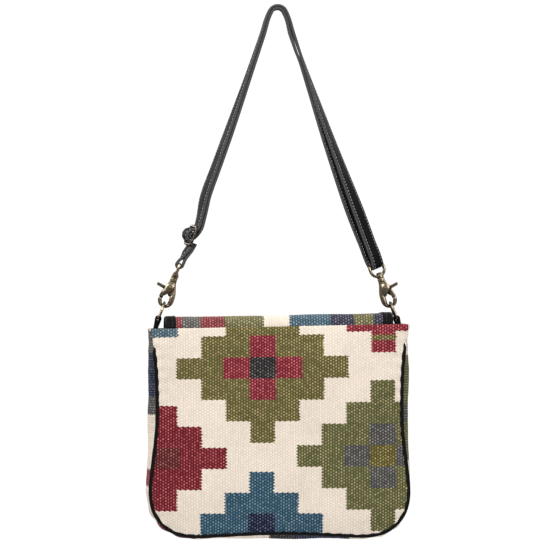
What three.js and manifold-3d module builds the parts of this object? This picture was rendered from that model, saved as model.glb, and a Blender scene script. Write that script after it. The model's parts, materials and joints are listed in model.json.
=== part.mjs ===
// A woven flap shoulder bag hanging by a doubled leather strap with a swivel clasp at each end.
// Millimetres. +X runs across the bag, +Y from its back panel to its flap, +Z up.
// Heights are built up from the base, and the finished bag is lowered so that
// its origin lies under the strap's crest, where the bag hangs.
import * as THREE from 'three';
import { mergeVertices } from 'three/addons/utils/BufferGeometryUtils.js';
import Module from 'manifold-3d';

const wasm = await Module();
wasm.setup();

// Clearances
const SEAM_GAP = 0.3; // between pieces that are sewn, glued or pressed together
const RUNNING_GAP = 0.3; // round a bar, post or pin that turns
const HOOK_PLAY = 0.6; // between a ring and the foot of the hook that carries it

// Bag body, measured on the seam line where a panel meets the gusset
const BAG_HEIGHT = 222;
const BAG_WIDTH = 269; // at the hips, above the round corners
const WAIST_TUCK = 7; // how far each side draws in at the waist
const WAIST_HEIGHT = 130;
const MOUTH_SPREAD = 0.5; // how far each side stands past the hips at the mouth
const CORNER_RADIUS = 42;
const SEAM_LIFT = 4; // seam above the base beside the corners
const SEAM_BOW = 3; // further rise of the seam at the middle of the base
const BAG_DEPTH = 65;
const CLOTH = 2.4;
const PANEL_CROWN = 5;
const GUSSET_BELLY = 7.5; // how far the gusset bulges past the seam at the waist
const GUSSET_HIP = 2;
const GUSSET_MOUTH = -2; // drawn in at the mouth
const GUSSET_FLAT = 0.4; // share of the depth that stays flat across the bulge
const MOUTH_FLARE = 3; // power by which the seam widens from waist to mouth
const MOUTH_TUCK = 4; // the same for the gusset's bulge drawing in
const PANEL_FLATNESS = 4; // power by which a panel's crown dies out at its edges
const BOW_FADE = 6; // power by which the bow of the base dies out up the panel
const PIPING_RADIUS = 2.2;

// Lining and the leather tabs held between it and the gusset
const LINING = 1.2;
const LINING_DROP = 8; // top of the lining below the mouth
const TAB_LEATHER = 1.6;
const TAB_WIDTH = 15;
const TAB_LEAN = 16;
const TAB_RISE = 17; // from the mouth of the lining to the ring's bar
const TAB_TAIL = 10; // length sewn in below that
const TAB_FORWARD = 10; // tabs forward of the gusset's middle, over the weight of bag and flap

// Flap
const FLAP_INSET = 16; // each side of the flap inside the mouth
const FLAP_CREST = 11.5; // middle of the cloth above the panel's top edge
const FLAP_ROOT = 14; // length sewn in below the panel's top edge
const FLAP_DROP = 150; // lower edge below the panel's top edge
const FLAP_CLOTH = 2.2;
const FLAP_LINING = 1;
const FLAP_BACK_RADIUS = 11;
const FLAP_FRONT_RADIUS = 16;
const FLAP_CORNER = 34;
const BINDING_LEATHER = 1.3;
const BINDING_WIDTH = 11;
const SNAP_RADIUS = 9;
const SNAP_SOCKET = 2.6;
const SNAP_STUD = 1.8;
const SNAP_RIM = 0.6;
const SNAP_FROM_EDGE = 26; // from the flap's lower edge to the snap's middle

// Rings in the tabs
const RING_WIRE = 3;
const RING_SIDE_PLAY = 0.75; // between the tab's edge and the ring
const RING_HEIGHT = 18; // between the middles of bar and crown
const WIRE_BEND = 2.6; // bend radius at the middle of a ring's or eye's wire

// Swivel clasps, measured along the clasp from the middle of the hook's opening
const OPENING_WIDTH = 8;
const OPENING_HEIGHT = 12;
const OPENING_FLARE = 1.4; // chamfer of the opening on both faces
const HOOK_THICK = 6.2;
const HOOK_BEVEL = 0.8;
const SPINE_WALL = 4.6;
const NOSE_WALL = 3.2;
const FOOT_WALL = 3;
const NECK_RADIUS = 3.6;
const NECK_HEIGHT = 24;
const PIN_RADIUS = 1.1;
const PIN_HEIGHT = 13.4;
const PIN_OFFSET = 0.4;
const PIN_PROUD = 0.5;
const GATE_THICK = 2.6;
const GATE_HUB = 2.7;
const GATE_REACH = 14.5; // from the pin to the gate's tip
const LEVER_REACH = 14.8;
const LEVER_THICK = 2;
const SPRING_LEAF = 0.5;
const SPRING_WIDTH = 2;
const SPRING_BOW = 1.9; // how far the leaf's free end stands off the slot's back
const POST_RADIUS = 1.7;
const POST_HEAD_RADIUS = 2.9;
const POST_HEAD = 1.8;

// Swivel eyes
const EYE_WIRE = 3;
const EYE_BOSS_RADIUS = 3.6;
const EYE_BOSS = 4;
const EYE_SHOULDER = 7.7; // height of the round lower part of the eye
const EYE_SIDE = 5.5; // straight height from there to the bar

// Strap and slider
const STRAP_WIDTH = 18;
const STRAP_THICK = 3;
const STRAP_SIDE_PLAY = 0.75; // between the strap's edge and an eye or slider
const STRAP_RISE = 332; // underside of the crest above the panel's top edge
const CREST_RADIUS = 4.6; // bend of the strap's underside over what it hangs on
const LEG_BOW = 1.3; // how much further rings and clasps lean than the straight line to the crest
const LAYER_PITCH = 3.8; // between the middles of the two layers
const LAYER_FAN = 8; // the same where the right leg fans out
const FAN_START = 40; // distance of the widest fan from the right eye
const FAN_END = 200;
const RIGHT_TWIST = 45; // turn of the strap towards the back panel's side at the right eye
const LEFT_TWIST = 16; // the same at the slider
const SLIDER_DISTANCE = 33; // from the left eye's bar to the slider's middle bar
const SLIDER_WIRE = 2.4;
const SLIDER_BEND = 2.2;
const WEAVE_ANGLE = 72; // slope of the strap between two bars of the slider
const STRAP_TIP = 3; // sewn end of the strap past the slider's lower bar
const LAYER_MERGE = 40; // length over which the layers close up above the slider
const STRAP_WRAP = 230; // how far the strap's other end is sewn round the middle bar

// Fineness of the facets
const BASE_STEPS = 3;
const CORNER_STEPS = 4;
const SIDE_STEPS = 8;
const BEND_STEPS = 4;
const PANEL_COLUMNS = 10;
const FLAP_COLUMNS = 4;
const WIRE_SIDES = 8;
const PIN_SIDES = 12;
const POST_SIDES = 16;
const SNAP_SIDES = 20;
const LOOP_STEPS = 28;
const LOOP_POINTS = 112;
const TAIL_STEPS = 6;
const MERGE_STEPS = 5;
const LEFT_LEG_STEPS = 8;
const CREST_STEPS = 7;
const RIGHT_LEG_STEPS = 11;
const CURVE_STEPS = 8;
const FINE_CURVE_STEPS = 16;
const ARC_STEP = 24; // degrees
const QUARTER_CONTROL = 0.55; // control length of a quarter of a circle drawn as one curve

// Finishes
const kilim = new THREE.MeshStandardMaterial({ color: 0xe6d9c6, roughness: 0.95 });
const leather = new THREE.MeshStandardMaterial({ color: 0x1c1c1e, roughness: 0.5 });
const liningCloth = new THREE.MeshStandardMaterial({ color: 0x3a3630, roughness: 0.9 });
const brass = new THREE.MeshStandardMaterial({ color: 0x8f7f5c, roughness: 0.35, metalness: 1 });
const springSteel = new THREE.MeshStandardMaterial({ color: 0x9a9a9a, roughness: 0.3, metalness: 1 });
const snapNickel = new THREE.MeshStandardMaterial({ color: 0xa89b7a, roughness: 0.3, metalness: 1 });

const { lerp, smoothstep, degToRad } = THREE.MathUtils;
const place = (x, y, z) => new THREE.Vector3(x, y, z);

// Solids

function piece(name, geometry, material) {
  const mesh = new THREE.Mesh(geometry, material);
  mesh.name = name;
  return mesh;
}

function group(...children) {
  const holder = new THREE.Group();
  holder.add(...children);
  return holder;
}

function weld(geometry) {
  geometry.deleteAttribute('normal');
  geometry.deleteAttribute('uv');
  return mergeVertices(geometry);
}

// A closed sheet or bar: the unit box in nu, nv and nw steps, each of its corners moved by map(u, v, w)
function warp(nu, nv, nw, map) {
  const geometry = weld(new THREE.BoxGeometry(1, 1, 1, nu, nv, nw));
  const corners = geometry.attributes.position;
  const corner = new THREE.Vector3();
  for (let i = 0; i < corners.count; i++) {
    corner.fromBufferAttribute(corners, i).addScalar(0.5);
    const moved = map(corner.x, corner.y, corner.z);
    corners.setXYZ(i, moved.x, moved.y, moved.z);
  }
  if (signedVolume(geometry) < 0) geometry.index.array.reverse();
  return geometry;
}

function signedVolume(geometry) {
  const [a, b, c] = [new THREE.Vector3(), new THREE.Vector3(), new THREE.Vector3()];
  const { index, attributes } = geometry;
  let volume = 0;
  for (let i = 0; i < index.count; i += 3) {
    a.fromBufferAttribute(attributes.position, index.getX(i));
    b.fromBufferAttribute(attributes.position, index.getX(i + 1));
    c.fromBufferAttribute(attributes.position, index.getX(i + 2));
    volume += a.dot(b.cross(c)) / 6;
  }
  return volume;
}

function solid(geometry) {
  const welded = weld(geometry.clone());
  const vertProperties = new Float32Array(welded.attributes.position.array);
  const triVerts = new Uint32Array(welded.index.array);
  return new wasm.Manifold(new wasm.Mesh({ numProp: 3, vertProperties, triVerts }));
}

function facets(body) {
  const { vertProperties, triVerts } = body.getMesh();
  const geometry = new THREE.BufferGeometry();
  geometry.setAttribute('position', new THREE.BufferAttribute(vertProperties, 3));
  geometry.setIndex(new THREE.BufferAttribute(triVerts, 1));
  return geometry;
}

// A shape drawn in X and Z, as thick as given along Y and centred on it
function slab(shape, thick, bevel = 0, curveSegments = CURVE_STEPS) {
  const geometry = new THREE.ExtrudeGeometry(shape, {
    depth: thick - 2 * bevel,
    curveSegments,
    bevelEnabled: bevel > 0,
    bevelThickness: bevel,
    bevelSize: bevel,
    bevelOffset: -bevel,
    bevelSegments: 1,
  });
  return geometry.rotateX(Math.PI / 2).translate(0, thick / 2 - bevel, 0);
}

function outline(points) {
  return new THREE.Shape(points.map(([x, z]) => new THREE.Vector2(x, z)));
}

function disc(x, z, radius) {
  return new THREE.Shape().absarc(x, z, radius, 0, 2 * Math.PI);
}

// An upright round bar from one height to another
function post(radius, low, high) {
  return new THREE.CylinderGeometry(radius, radius, high - low, POST_SIDES)
    .rotateX(Math.PI / 2)
    .translate(0, 0, (low + high) / 2);
}

// A round wire bent into the closed loop that a flat path draws, its points set in space by lift
function wireLoop(path, wire, lift) {
  const points = path.getSpacedPoints(LOOP_POINTS).slice(0, -1).map(lift);
  const loop = new THREE.CatmullRomCurve3(points, true);
  return weld(new THREE.TubeGeometry(loop, LOOP_STEPS, wire / 2, WIRE_SIDES, true));
}

// Seam line of panel and gusset

const waistWidth = BAG_WIDTH - 2 * WAIST_TUCK;
const mouthWidth = BAG_WIDTH + 2 * MOUTH_SPREAD;
const cornerMiddle = BAG_WIDTH / 2 - CORNER_RADIUS;
const hipHeight = SEAM_LIFT + CORNER_RADIUS;

function baseBow(x) {
  const share = Math.min(1, Math.abs(x) / cornerMiddle);
  return SEAM_BOW * Math.cos((share * Math.PI) / 2) ** 2;
}

// Half the seam's width and the gusset's bulge there, between hip and mouth
function sideAt(z) {
  if (z < WAIST_HEIGHT) {
    const share = (1 - Math.cos((Math.PI * (z - hipHeight)) / (WAIST_HEIGHT - hipHeight))) / 2;
    return { half: lerp(BAG_WIDTH, waistWidth, share) / 2, bulge: lerp(GUSSET_HIP, GUSSET_BELLY, share) };
  }
  const rise = (z - WAIST_HEIGHT) / (BAG_HEIGHT - WAIST_HEIGHT);
  return {
    half: lerp(waistWidth, mouthWidth, rise ** MOUTH_FLARE) / 2,
    bulge: lerp(GUSSET_BELLY, GUSSET_MOUTH, rise ** MOUTH_TUCK),
  };
}

// Corner and side of the seam on the right, from the base up to a height,
// each point with its outward direction
function seamSide(top) {
  const points = [];
  for (let i = 0; i < CORNER_STEPS; i++) {
    const turn = (i / CORNER_STEPS) * (Math.PI / 2);
    const out = place(Math.sin(turn), 0, -Math.cos(turn));
    points.push({
      x: cornerMiddle + CORNER_RADIUS * out.x,
      z: hipHeight + CORNER_RADIUS * out.z,
      out,
      bulge: lerp(SEAM_LIFT - CLOTH / 2, GUSSET_HIP, i / CORNER_STEPS),
    });
  }
  for (let i = 0; i <= SIDE_STEPS; i++) {
    const z = lerp(hipHeight, top, i / SIDE_STEPS);
    const { half, bulge } = sideAt(z);
    points.push({ x: half, z, out: place(1, 0, 0), bulge });
  }
  return points;
}

function seamBase() {
  const points = [];
  for (let i = 1 - BASE_STEPS; i < BASE_STEPS; i++) {
    const x = (cornerMiddle * i) / BASE_STEPS;
    const z = SEAM_LIFT + baseBow(x);
    points.push({ x, z, out: place(0, 0, -1), bulge: z - CLOTH / 2 });
  }
  return points;
}

const seamRight = seamSide(BAG_HEIGHT);
const seamLeft = seamRight.map((p) => ({ ...p, x: -p.x, out: place(-p.out.x, 0, p.out.z) }));
const seam = [...seamLeft.toReversed(), ...seamBase(), ...seamRight];

// Bag body

// facing is -1 for the back panel and 1 for the front panel
function panel(facing) {
  const inset = PIPING_RADIUS + SEAM_GAP;
  const rows = seamRight.length - 1;
  return warp(PANEL_COLUMNS, rows, 1, (u, v, w) => {
    const row = seamRight[Math.round(v * rows)];
    const across = 2 * u - 1;
    const up = (row.z - SEAM_LIFT) / (BAG_HEIGHT - SEAM_LIFT);
    const x = across * (row.x - inset * row.out.x);
    const z = row.z - inset * row.out.z + baseBow(x) * (1 - up) ** BOW_FADE;
    const [aside, astray] = [Math.abs(across), Math.abs(2 * up - 1)];
    const crown = PANEL_CROWN * (1 - aside ** PANEL_FLATNESS) * (1 - astray ** PANEL_FLATNESS);
    return place(x, facing * (BAG_DEPTH / 2 + crown + CLOTH * (w - 0.5)), z);
  });
}

function gusset() {
  const half = BAG_DEPTH / 2 - PIPING_RADIUS - SEAM_GAP;
  const slopes = Array.from({ length: BEND_STEPS }, (_, i) => lerp(GUSSET_FLAT, 1, i / (BEND_STEPS - 1)));
  const columns = [...slopes.toReversed().map((c) => -c), ...slopes];
  const stations = seam.length - 1;
  return warp(stations, columns.length - 1, 1, (u, v, w) => {
    const { x, z, out, bulge } = seam[Math.round(u * stations)];
    const column = columns[Math.round(v * (columns.length - 1))];
    const slope = (Math.abs(column) - GUSSET_FLAT) / (1 - GUSSET_FLAT);
    const offset = (bulge * (1 + Math.cos(Math.PI * slope))) / 2 + CLOTH * (w - 0.5);
    return place(x + offset * out.x, column * half, z + offset * out.z);
  });
}

// The square section of the warped box becomes an eight-sided cord
function piping(facing) {
  const stations = seam.length - 1;
  return warp(stations, 2, 2, (u, v, w) => {
    const { x, z, out } = seam[Math.round(u * stations)];
    const [a, b] = [2 * v - 1, 2 * w - 1];
    const radius = a === 0 && b === 0 ? 0 : PIPING_RADIUS / Math.hypot(a, b);
    return place(x + radius * a * out.x, facing * BAG_DEPTH / 2 + radius * b, z + radius * a * out.z);
  });
}

const flapRootMiddle = -BAG_DEPTH / 2 + CLOTH / 2 + SEAM_GAP + FLAP_CLOTH / 2;
const liningInset = CLOTH / 2 + 2 * TAB_LEATHER + 2 * SEAM_GAP;
const liningBack = flapRootMiddle + FLAP_CLOTH / 2 + FLAP_LINING + 2 * SEAM_GAP;
const liningFront = BAG_DEPTH / 2 - CLOTH / 2 - SEAM_GAP;
const liningTop = BAG_HEIGHT - LINING_DROP;

function liningBlock(inset, back, front, top) {
  const side = seamSide(top);
  const rows = side.length - 1;
  return warp(1, rows, 1, (u, v, w) => {
    const { x, z, out } = side[Math.round(v * rows)];
    const lift = (SEAM_BOW * (top - z)) / (top - SEAM_LIFT);
    return place((2 * u - 1) * (x - inset * out.x), lerp(back, front, w), z + lift - inset * out.z);
  });
}

function lining() {
  const outside = liningBlock(liningInset, liningBack, liningFront, liningTop);
  const inside = liningBlock(liningInset + LINING, liningBack + LINING, liningFront - LINING, BAG_HEIGHT);
  return facets(solid(outside).subtract(solid(inside)));
}

// Flap

const snapBack = BAG_DEPTH / 2 + CLOTH / 2 + PANEL_CROWN + SEAM_GAP;
const studBack = snapBack + SNAP_SOCKET + SEAM_GAP;
const flapFrontMiddle = studBack + SNAP_STUD + FLAP_LINING + FLAP_CLOTH / 2 + 2 * SEAM_GAP;
const flapLow = BAG_HEIGHT - FLAP_DROP;
const snapHeight = flapLow + SNAP_FROM_EDGE;

// Middle line of the flap's cloth from its sewn root, over the mouth, to its lower edge, in Y and Z
function flapLine() {
  const crest = BAG_HEIGHT + FLAP_CREST;
  const line = new THREE.Path();
  line.moveTo(flapRootMiddle, BAG_HEIGHT - FLAP_ROOT);
  line.lineTo(flapRootMiddle, crest - FLAP_BACK_RADIUS);
  line.absarc(flapRootMiddle + FLAP_BACK_RADIUS, crest - FLAP_BACK_RADIUS, FLAP_BACK_RADIUS,
    Math.PI, Math.PI / 2, true);
  line.lineTo(flapFrontMiddle - FLAP_FRONT_RADIUS, crest);
  line.absarc(flapFrontMiddle - FLAP_FRONT_RADIUS, crest - FLAP_FRONT_RADIUS, FLAP_FRONT_RADIUS,
    Math.PI / 2, 0, true);
  line.lineTo(flapFrontMiddle, flapLow);
  return line;
}

const flapMiddle = flapLine();
const flapLength = flapMiddle.getLength();
const flapHalf = mouthWidth / 2 - FLAP_INSET - BINDING_LEATHER - SEAM_GAP;
const flapReach = flapLength - BINDING_LEATHER - SEAM_GAP;
const bindingStart = FLAP_ROOT + SEAM_GAP;

// Lengths along the flap where its facets turn: the root, both bends, the drop and the round corner
function flapStations() {
  const [root, back, top, front, drop] = flapMiddle.curves.map((c) => c.getLength());
  const bend = Array.from({ length: BEND_STEPS }, (_, i) => (i + 1) / BEND_STEPS);
  const stations = [0, bindingStart, root];
  for (const share of bend) stations.push(root + back * share);
  stations.push(root + back + top / 2, root + back + top);
  for (const share of bend) stations.push(root + back + top + front * share);
  const straight = flapReach - FLAP_CORNER - (flapLength - drop);
  stations.push(flapLength - drop + straight / 2, flapReach - FLAP_CORNER);
  for (const share of bend) stations.push(flapReach - FLAP_CORNER * (1 - Math.sin((share * Math.PI) / 2)));
  return stations;
}

const flapRows = flapStations();

function flapHalfAt(length) {
  const past = Math.max(0, length - (flapReach - FLAP_CORNER));
  return flapHalf - FLAP_CORNER + Math.sqrt(Math.max(0, FLAP_CORNER ** 2 - past ** 2));
}

// A point of the flap: length along it, distance across it, and height off the cloth's middle
function flapPoint(length, x, off) {
  const share = length / flapLength;
  const point = flapMiddle.getPointAt(share);
  const along = flapMiddle.getTangentAt(share);
  return place(x, point.x - along.y * off, point.y + along.x * off);
}

function flapSheet(thick, off) {
  const rows = flapRows.length - 1;
  return warp(FLAP_COLUMNS, rows, 1, (u, v, w) => {
    const length = flapRows[Math.round(v * rows)];
    return flapPoint(length, (2 * u - 1) * flapHalfAt(length), off + thick * (w - 0.5));
  });
}

// Edge of the flap from its left root round to its right root: a place and the way out of the cloth there
function flapEdge() {
  const bound = flapRows.filter((length) => length >= bindingStart);
  const right = bound.map((length) => {
    const past = Math.max(0, length - (flapReach - FLAP_CORNER)) / FLAP_CORNER;
    return { length, x: flapHalfAt(length), outX: Math.sqrt(Math.max(0, 1 - past ** 2)), outLength: past };
  });
  const left = right.map((e) => ({ ...e, x: -e.x, outX: -e.outX }));
  return [...left, ...right.toReversed()];
}

// A leather channel round that edge, drawn by the four corners of its inside and of its outside
function flapBinding() {
  const outer = FLAP_CLOTH / 2 + SEAM_GAP;
  const inner = -FLAP_CLOTH / 2 - FLAP_LINING - 2 * SEAM_GAP;
  const arm = SEAM_GAP + BINDING_LEATHER - BINDING_WIDTH;
  const inside = [[arm, outer], [SEAM_GAP, outer], [SEAM_GAP, inner], [arm, inner]];
  const rim = SEAM_GAP + BINDING_LEATHER;
  const [high, low] = [outer + BINDING_LEATHER, inner - BINDING_LEATHER];
  const outside = [[arm, high], [rim, high], [rim, low], [arm, low]];
  const edge = flapEdge();
  return warp(edge.length - 1, inside.length - 1, 1, (u, v, w) => {
    const { length, x, outX, outLength } = edge[Math.round(u * (edge.length - 1))];
    const [reach, off] = (w > 0.5 ? outside : inside)[Math.round(v * (inside.length - 1))];
    return flapPoint(Math.min(flapLength, length + reach * outLength), x + reach * outX, off);
  });
}

// A round snap half standing on a plane across Y, with a raised rim
function snapHalf(thick, back) {
  const profile = [[0, 0], [SNAP_RADIUS, 0], [SNAP_RADIUS, thick - SNAP_RIM], [SNAP_RADIUS - SNAP_RIM, thick],
    [0, thick]];
  return new THREE.LatheGeometry(profile.map(([r, h]) => new THREE.Vector2(r, h)), SNAP_SIDES)
    .translate(0, back, snapHeight);
}

// Hardware on one side of the bag: side is -1 on the left and 1 on the right

const tabSeat = sideAt(liningTop).half - CLOTH / 2 - SEAM_GAP - TAB_LEATHER;
const tabLean = degToRad(TAB_LEAN);
const ringBar = {
  x: tabSeat - TAB_RISE * Math.sin(tabLean),
  z: liningTop + TAB_RISE * Math.cos(tabLean),
};

// A strip folded round the ring's bar, its two halves sewn together below
function tab(side) {
  const loop = RING_WIRE / 2 + RUNNING_GAP + TAB_LEATHER;
  const tail = liningTop - TAB_TAIL;
  const shape = new THREE.Shape();
  shape.moveTo(side * (tabSeat - TAB_LEATHER), tail);
  shape.lineTo(side * (tabSeat - TAB_LEATHER), liningTop);
  for (let i = 0; i <= CURVE_STEPS; i++) {
    const angle = Math.PI + tabLean - (i / CURVE_STEPS) * Math.PI;
    shape.lineTo(side * (ringBar.x + loop * Math.cos(angle)), ringBar.z + loop * Math.sin(angle));
  }
  shape.lineTo(side * (tabSeat + TAB_LEATHER), liningTop);
  shape.lineTo(side * (tabSeat + TAB_LEATHER), tail);
  shape.holes.push(disc(side * ringBar.x, ringBar.z, RING_WIRE / 2 + RUNNING_GAP));
  return slab(shape, TAB_WIDTH);
}

const ringHalf = TAB_WIDTH / 2 + RING_SIDE_PLAY + RING_WIRE / 2;

// A D-shaped ring in the plane of Y and Z, with its bar at the origin
function ring() {
  const path = new THREE.Path();
  path.moveTo(0, 0);
  path.lineTo(ringHalf - WIRE_BEND, 0);
  path.absarc(ringHalf - WIRE_BEND, WIRE_BEND, WIRE_BEND, -Math.PI / 2, 0);
  path.absarc(0, RING_HEIGHT - ringHalf, ringHalf, 0, Math.PI);
  path.absarc(WIRE_BEND - ringHalf, WIRE_BEND, WIRE_BEND, Math.PI, 1.5 * Math.PI);
  path.lineTo(0, 0);
  return wireLoop(path, RING_WIRE, (p) => place(0, p.x, p.y));
}

// Clasp, with the middle of its opening at the origin and its gate on the +X side

const nose = OPENING_WIDTH / 2 + NOSE_WALL;
const foot = OPENING_HEIGHT / 2 + FOOT_WALL;
const slot = GATE_THICK + 2 * RUNNING_GAP;
const slotBack = PIN_OFFSET - GATE_HUB - RUNNING_GAP;
const slotTop = PIN_HEIGHT + GATE_HUB + RUNNING_GAP;
const eyeLow = NECK_HEIGHT + RUNNING_GAP;
const eyeHigh = eyeLow + EYE_BOSS;

function hookShape() {
  const spine = OPENING_WIDTH / 2 + SPINE_WALL;
  const shape = new THREE.Shape();
  shape.moveTo(-NECK_RADIUS, NECK_HEIGHT);
  shape.bezierCurveTo(-NECK_RADIUS, PIN_HEIGHT, -spine, PIN_HEIGHT, -spine, 0);
  shape.bezierCurveTo(-spine, -QUARTER_CONTROL * foot, -QUARTER_CONTROL * spine, -foot, 0, -foot);
  shape.bezierCurveTo(QUARTER_CONTROL * nose, -foot, nose, -QUARTER_CONTROL * foot, nose, 0);
  shape.bezierCurveTo(nose, PIN_HEIGHT, NECK_RADIUS, PIN_HEIGHT, NECK_RADIUS, NECK_HEIGHT);
  return shape;
}

function hook() {
  const opening = (flare) => {
    const [width, height] = [OPENING_WIDTH / 2 + flare, OPENING_HEIGHT / 2 + flare];
    return new THREE.Shape().absellipse(0, 0, width, height, 0, 2 * Math.PI);
  };
  const chamfer = (face) => {
    const edge = slab(opening(OPENING_FLARE), 2 * OPENING_FLARE, OPENING_FLARE);
    return solid(edge.translate(0, (face * HOOK_THICK) / 2, 0));
  };
  const open = HOOK_THICK + 2 * HOOK_BEVEL;
  const far = 2 * nose;
  // The mouth on the gate's side, down to the round end of the nose
  const mouth = outline([[0, 0], [far, 0], [far, PIN_HEIGHT - GATE_HUB], [0, PIN_HEIGHT - GATE_HUB]]);
  const noseEnd = disc(PIN_OFFSET, PIN_HEIGHT, GATE_REACH + RUNNING_GAP);
  const noseSide = outline([[0, -foot], [far, -foot], [far, GATE_HUB], [0, GATE_HUB]]);
  const slotShape = outline([[slotBack, 0], [far, 0], [far, slotTop], [slotBack, slotTop]]);
  const noseCut = solid(slab(noseEnd, open, 0, FINE_CURVE_STEPS)).intersect(solid(slab(noseSide, open)));
  return facets(
    solid(slab(hookShape(), HOOK_THICK, HOOK_BEVEL))
      .add(solid(post(NECK_RADIUS, NECK_HEIGHT - NECK_RADIUS, NECK_HEIGHT)))
      .subtract(solid(slab(opening(0), open)))
      .subtract(chamfer(-1))
      .subtract(chamfer(1))
      .subtract(solid(slab(mouth, open)))
      .subtract(noseCut)
      .subtract(solid(slab(slotShape, slot)))
      .subtract(solid(slab(disc(PIN_OFFSET, PIN_HEIGHT, PIN_RADIUS + RUNNING_GAP), open)))
      .add(solid(post(POST_RADIUS, NECK_HEIGHT - NECK_RADIUS / 2, eyeHigh + RUNNING_GAP + POST_HEAD / 2)))
      .add(solid(post(POST_HEAD_RADIUS, eyeHigh + RUNNING_GAP, eyeHigh + RUNNING_GAP + POST_HEAD))),
  );
}

// Gate with its pin at the origin
function gate() {
  const inner = OPENING_WIDTH / 2 - PIN_OFFSET;
  const outer = nose - PIN_OFFSET;
  const tip = (x) => -Math.sqrt(GATE_REACH ** 2 - x ** 2);
  const leverRoot = outer - LEVER_THICK;
  const arm = new THREE.Shape();
  arm.moveTo(-GATE_HUB / 2, -GATE_HUB / 2);
  arm.quadraticCurveTo(inner, -GATE_REACH / 2, inner, tip(inner));
  arm.lineTo(outer, tip(outer));
  arm.quadraticCurveTo(outer, -GATE_REACH / 2, leverRoot, -LEVER_THICK);
  arm.lineTo(GATE_HUB / 2, GATE_HUB / 2);
  const lever = new THREE.Shape();
  lever.moveTo(0, -LEVER_THICK);
  lever.lineTo(leverRoot, -LEVER_THICK);
  lever.lineTo(LEVER_REACH - PIN_OFFSET, -LEVER_THICK / 2);
  lever.lineTo(LEVER_REACH - PIN_OFFSET, LEVER_THICK / 2);
  lever.lineTo(leverRoot, 0);
  lever.lineTo(0, LEVER_THICK / 2);
  return facets(
    solid(slab(disc(0, 0, GATE_HUB), GATE_THICK))
      .add(solid(slab(arm, GATE_THICK)))
      .add(solid(slab(lever, GATE_THICK)))
      .subtract(solid(slab(disc(0, 0, PIN_RADIUS + RUNNING_GAP), HOOK_THICK))),
  );
}

function gatePin() {
  const half = HOOK_THICK / 2 + PIN_PROUD;
  const profile = [[0, -half], [PIN_RADIUS - PIN_PROUD / 2, -half], [PIN_RADIUS, -half + PIN_PROUD / 2],
    [PIN_RADIUS, half - PIN_PROUD / 2], [PIN_RADIUS - PIN_PROUD / 2, half], [0, half]];
  return new THREE.LatheGeometry(profile.map(([r, h]) => new THREE.Vector2(r, h)), PIN_SIDES);
}

// A bent leaf between the back of the slot and the gate's arm, measured from the pin
function gateSpring() {
  const back = -GATE_HUB;
  const low = -GATE_REACH / 2;
  const high = -GATE_HUB - RUNNING_GAP;
  const middle = (low + high) / 2;
  const inner = back + SPRING_LEAF;
  const end = back + SPRING_BOW;
  const shape = outline([
    [back, high], [back, low], [end, middle], [end - SPRING_LEAF, middle + SPRING_LEAF],
    [inner, low + SPRING_BOW - SPRING_LEAF], [inner, high],
  ]);
  return slab(shape, SPRING_WIDTH);
}

const eyeHalf = STRAP_WIDTH / 2 + STRAP_SIDE_PLAY + EYE_WIRE / 2;
const eyeFoot = (eyeLow + eyeHigh) / 2;
const eyeBarHeight = eyeFoot + EYE_SHOULDER + EYE_SIDE;

// Swivel eye: a bent wire with its bar along X, and a boss round the clasp's post
function eye() {
  const path = new THREE.Path();
  path.absellipse(0, eyeFoot + EYE_SHOULDER, eyeHalf, EYE_SHOULDER, -Math.PI / 2, 0);
  path.absarc(eyeHalf - WIRE_BEND, eyeBarHeight - WIRE_BEND, WIRE_BEND, 0, Math.PI / 2);
  path.absarc(WIRE_BEND - eyeHalf, eyeBarHeight - WIRE_BEND, WIRE_BEND, Math.PI / 2, Math.PI);
  path.absellipse(0, eyeFoot + EYE_SHOULDER, eyeHalf, EYE_SHOULDER, Math.PI, 1.5 * Math.PI);
  return facets(
    solid(wireLoop(path, EYE_WIRE, (p) => place(p.x, 0, p.y)))
      .add(solid(post(EYE_BOSS_RADIUS, eyeLow, eyeHigh)))
      .subtract(solid(post(POST_HEAD_RADIUS, eyeHigh, eyeHigh + EYE_WIRE)))
      .subtract(solid(post(POST_HEAD_RADIUS, eyeLow - EYE_WIRE, eyeLow)))
      .subtract(solid(post(POST_RADIUS + RUNNING_GAP, eyeLow - EYE_WIRE, eyeHigh + EYE_WIRE))),
  );
}

const layerHalf = LAYER_PITCH / 2;
const crestMiddleRadius = CREST_RADIUS + STRAP_THICK / 2 + layerHalf;
const crestHeight = BAG_HEIGHT + STRAP_RISE;
const crestMiddle = crestHeight - CREST_RADIUS;
const straightLean = Math.atan2(ringBar.x - crestMiddleRadius, crestMiddle - ringBar.z);
const claspLean = straightLean + degToRad(LEG_BOW);
// The ring's crown curves down towards both faces of the hook
const crownSag = ringHalf - Math.sqrt(ringHalf ** 2 - (HOOK_THICK / 2) ** 2);
const ringInHook = OPENING_HEIGHT / 2 - RING_WIRE / 2 - HOOK_PLAY - crownSag;
const openingMiddle = {
  x: ringBar.x - (RING_HEIGHT + ringInHook) * Math.sin(claspLean),
  z: ringBar.z + (RING_HEIGHT + ringInHook) * Math.cos(claspLean),
};

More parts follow.
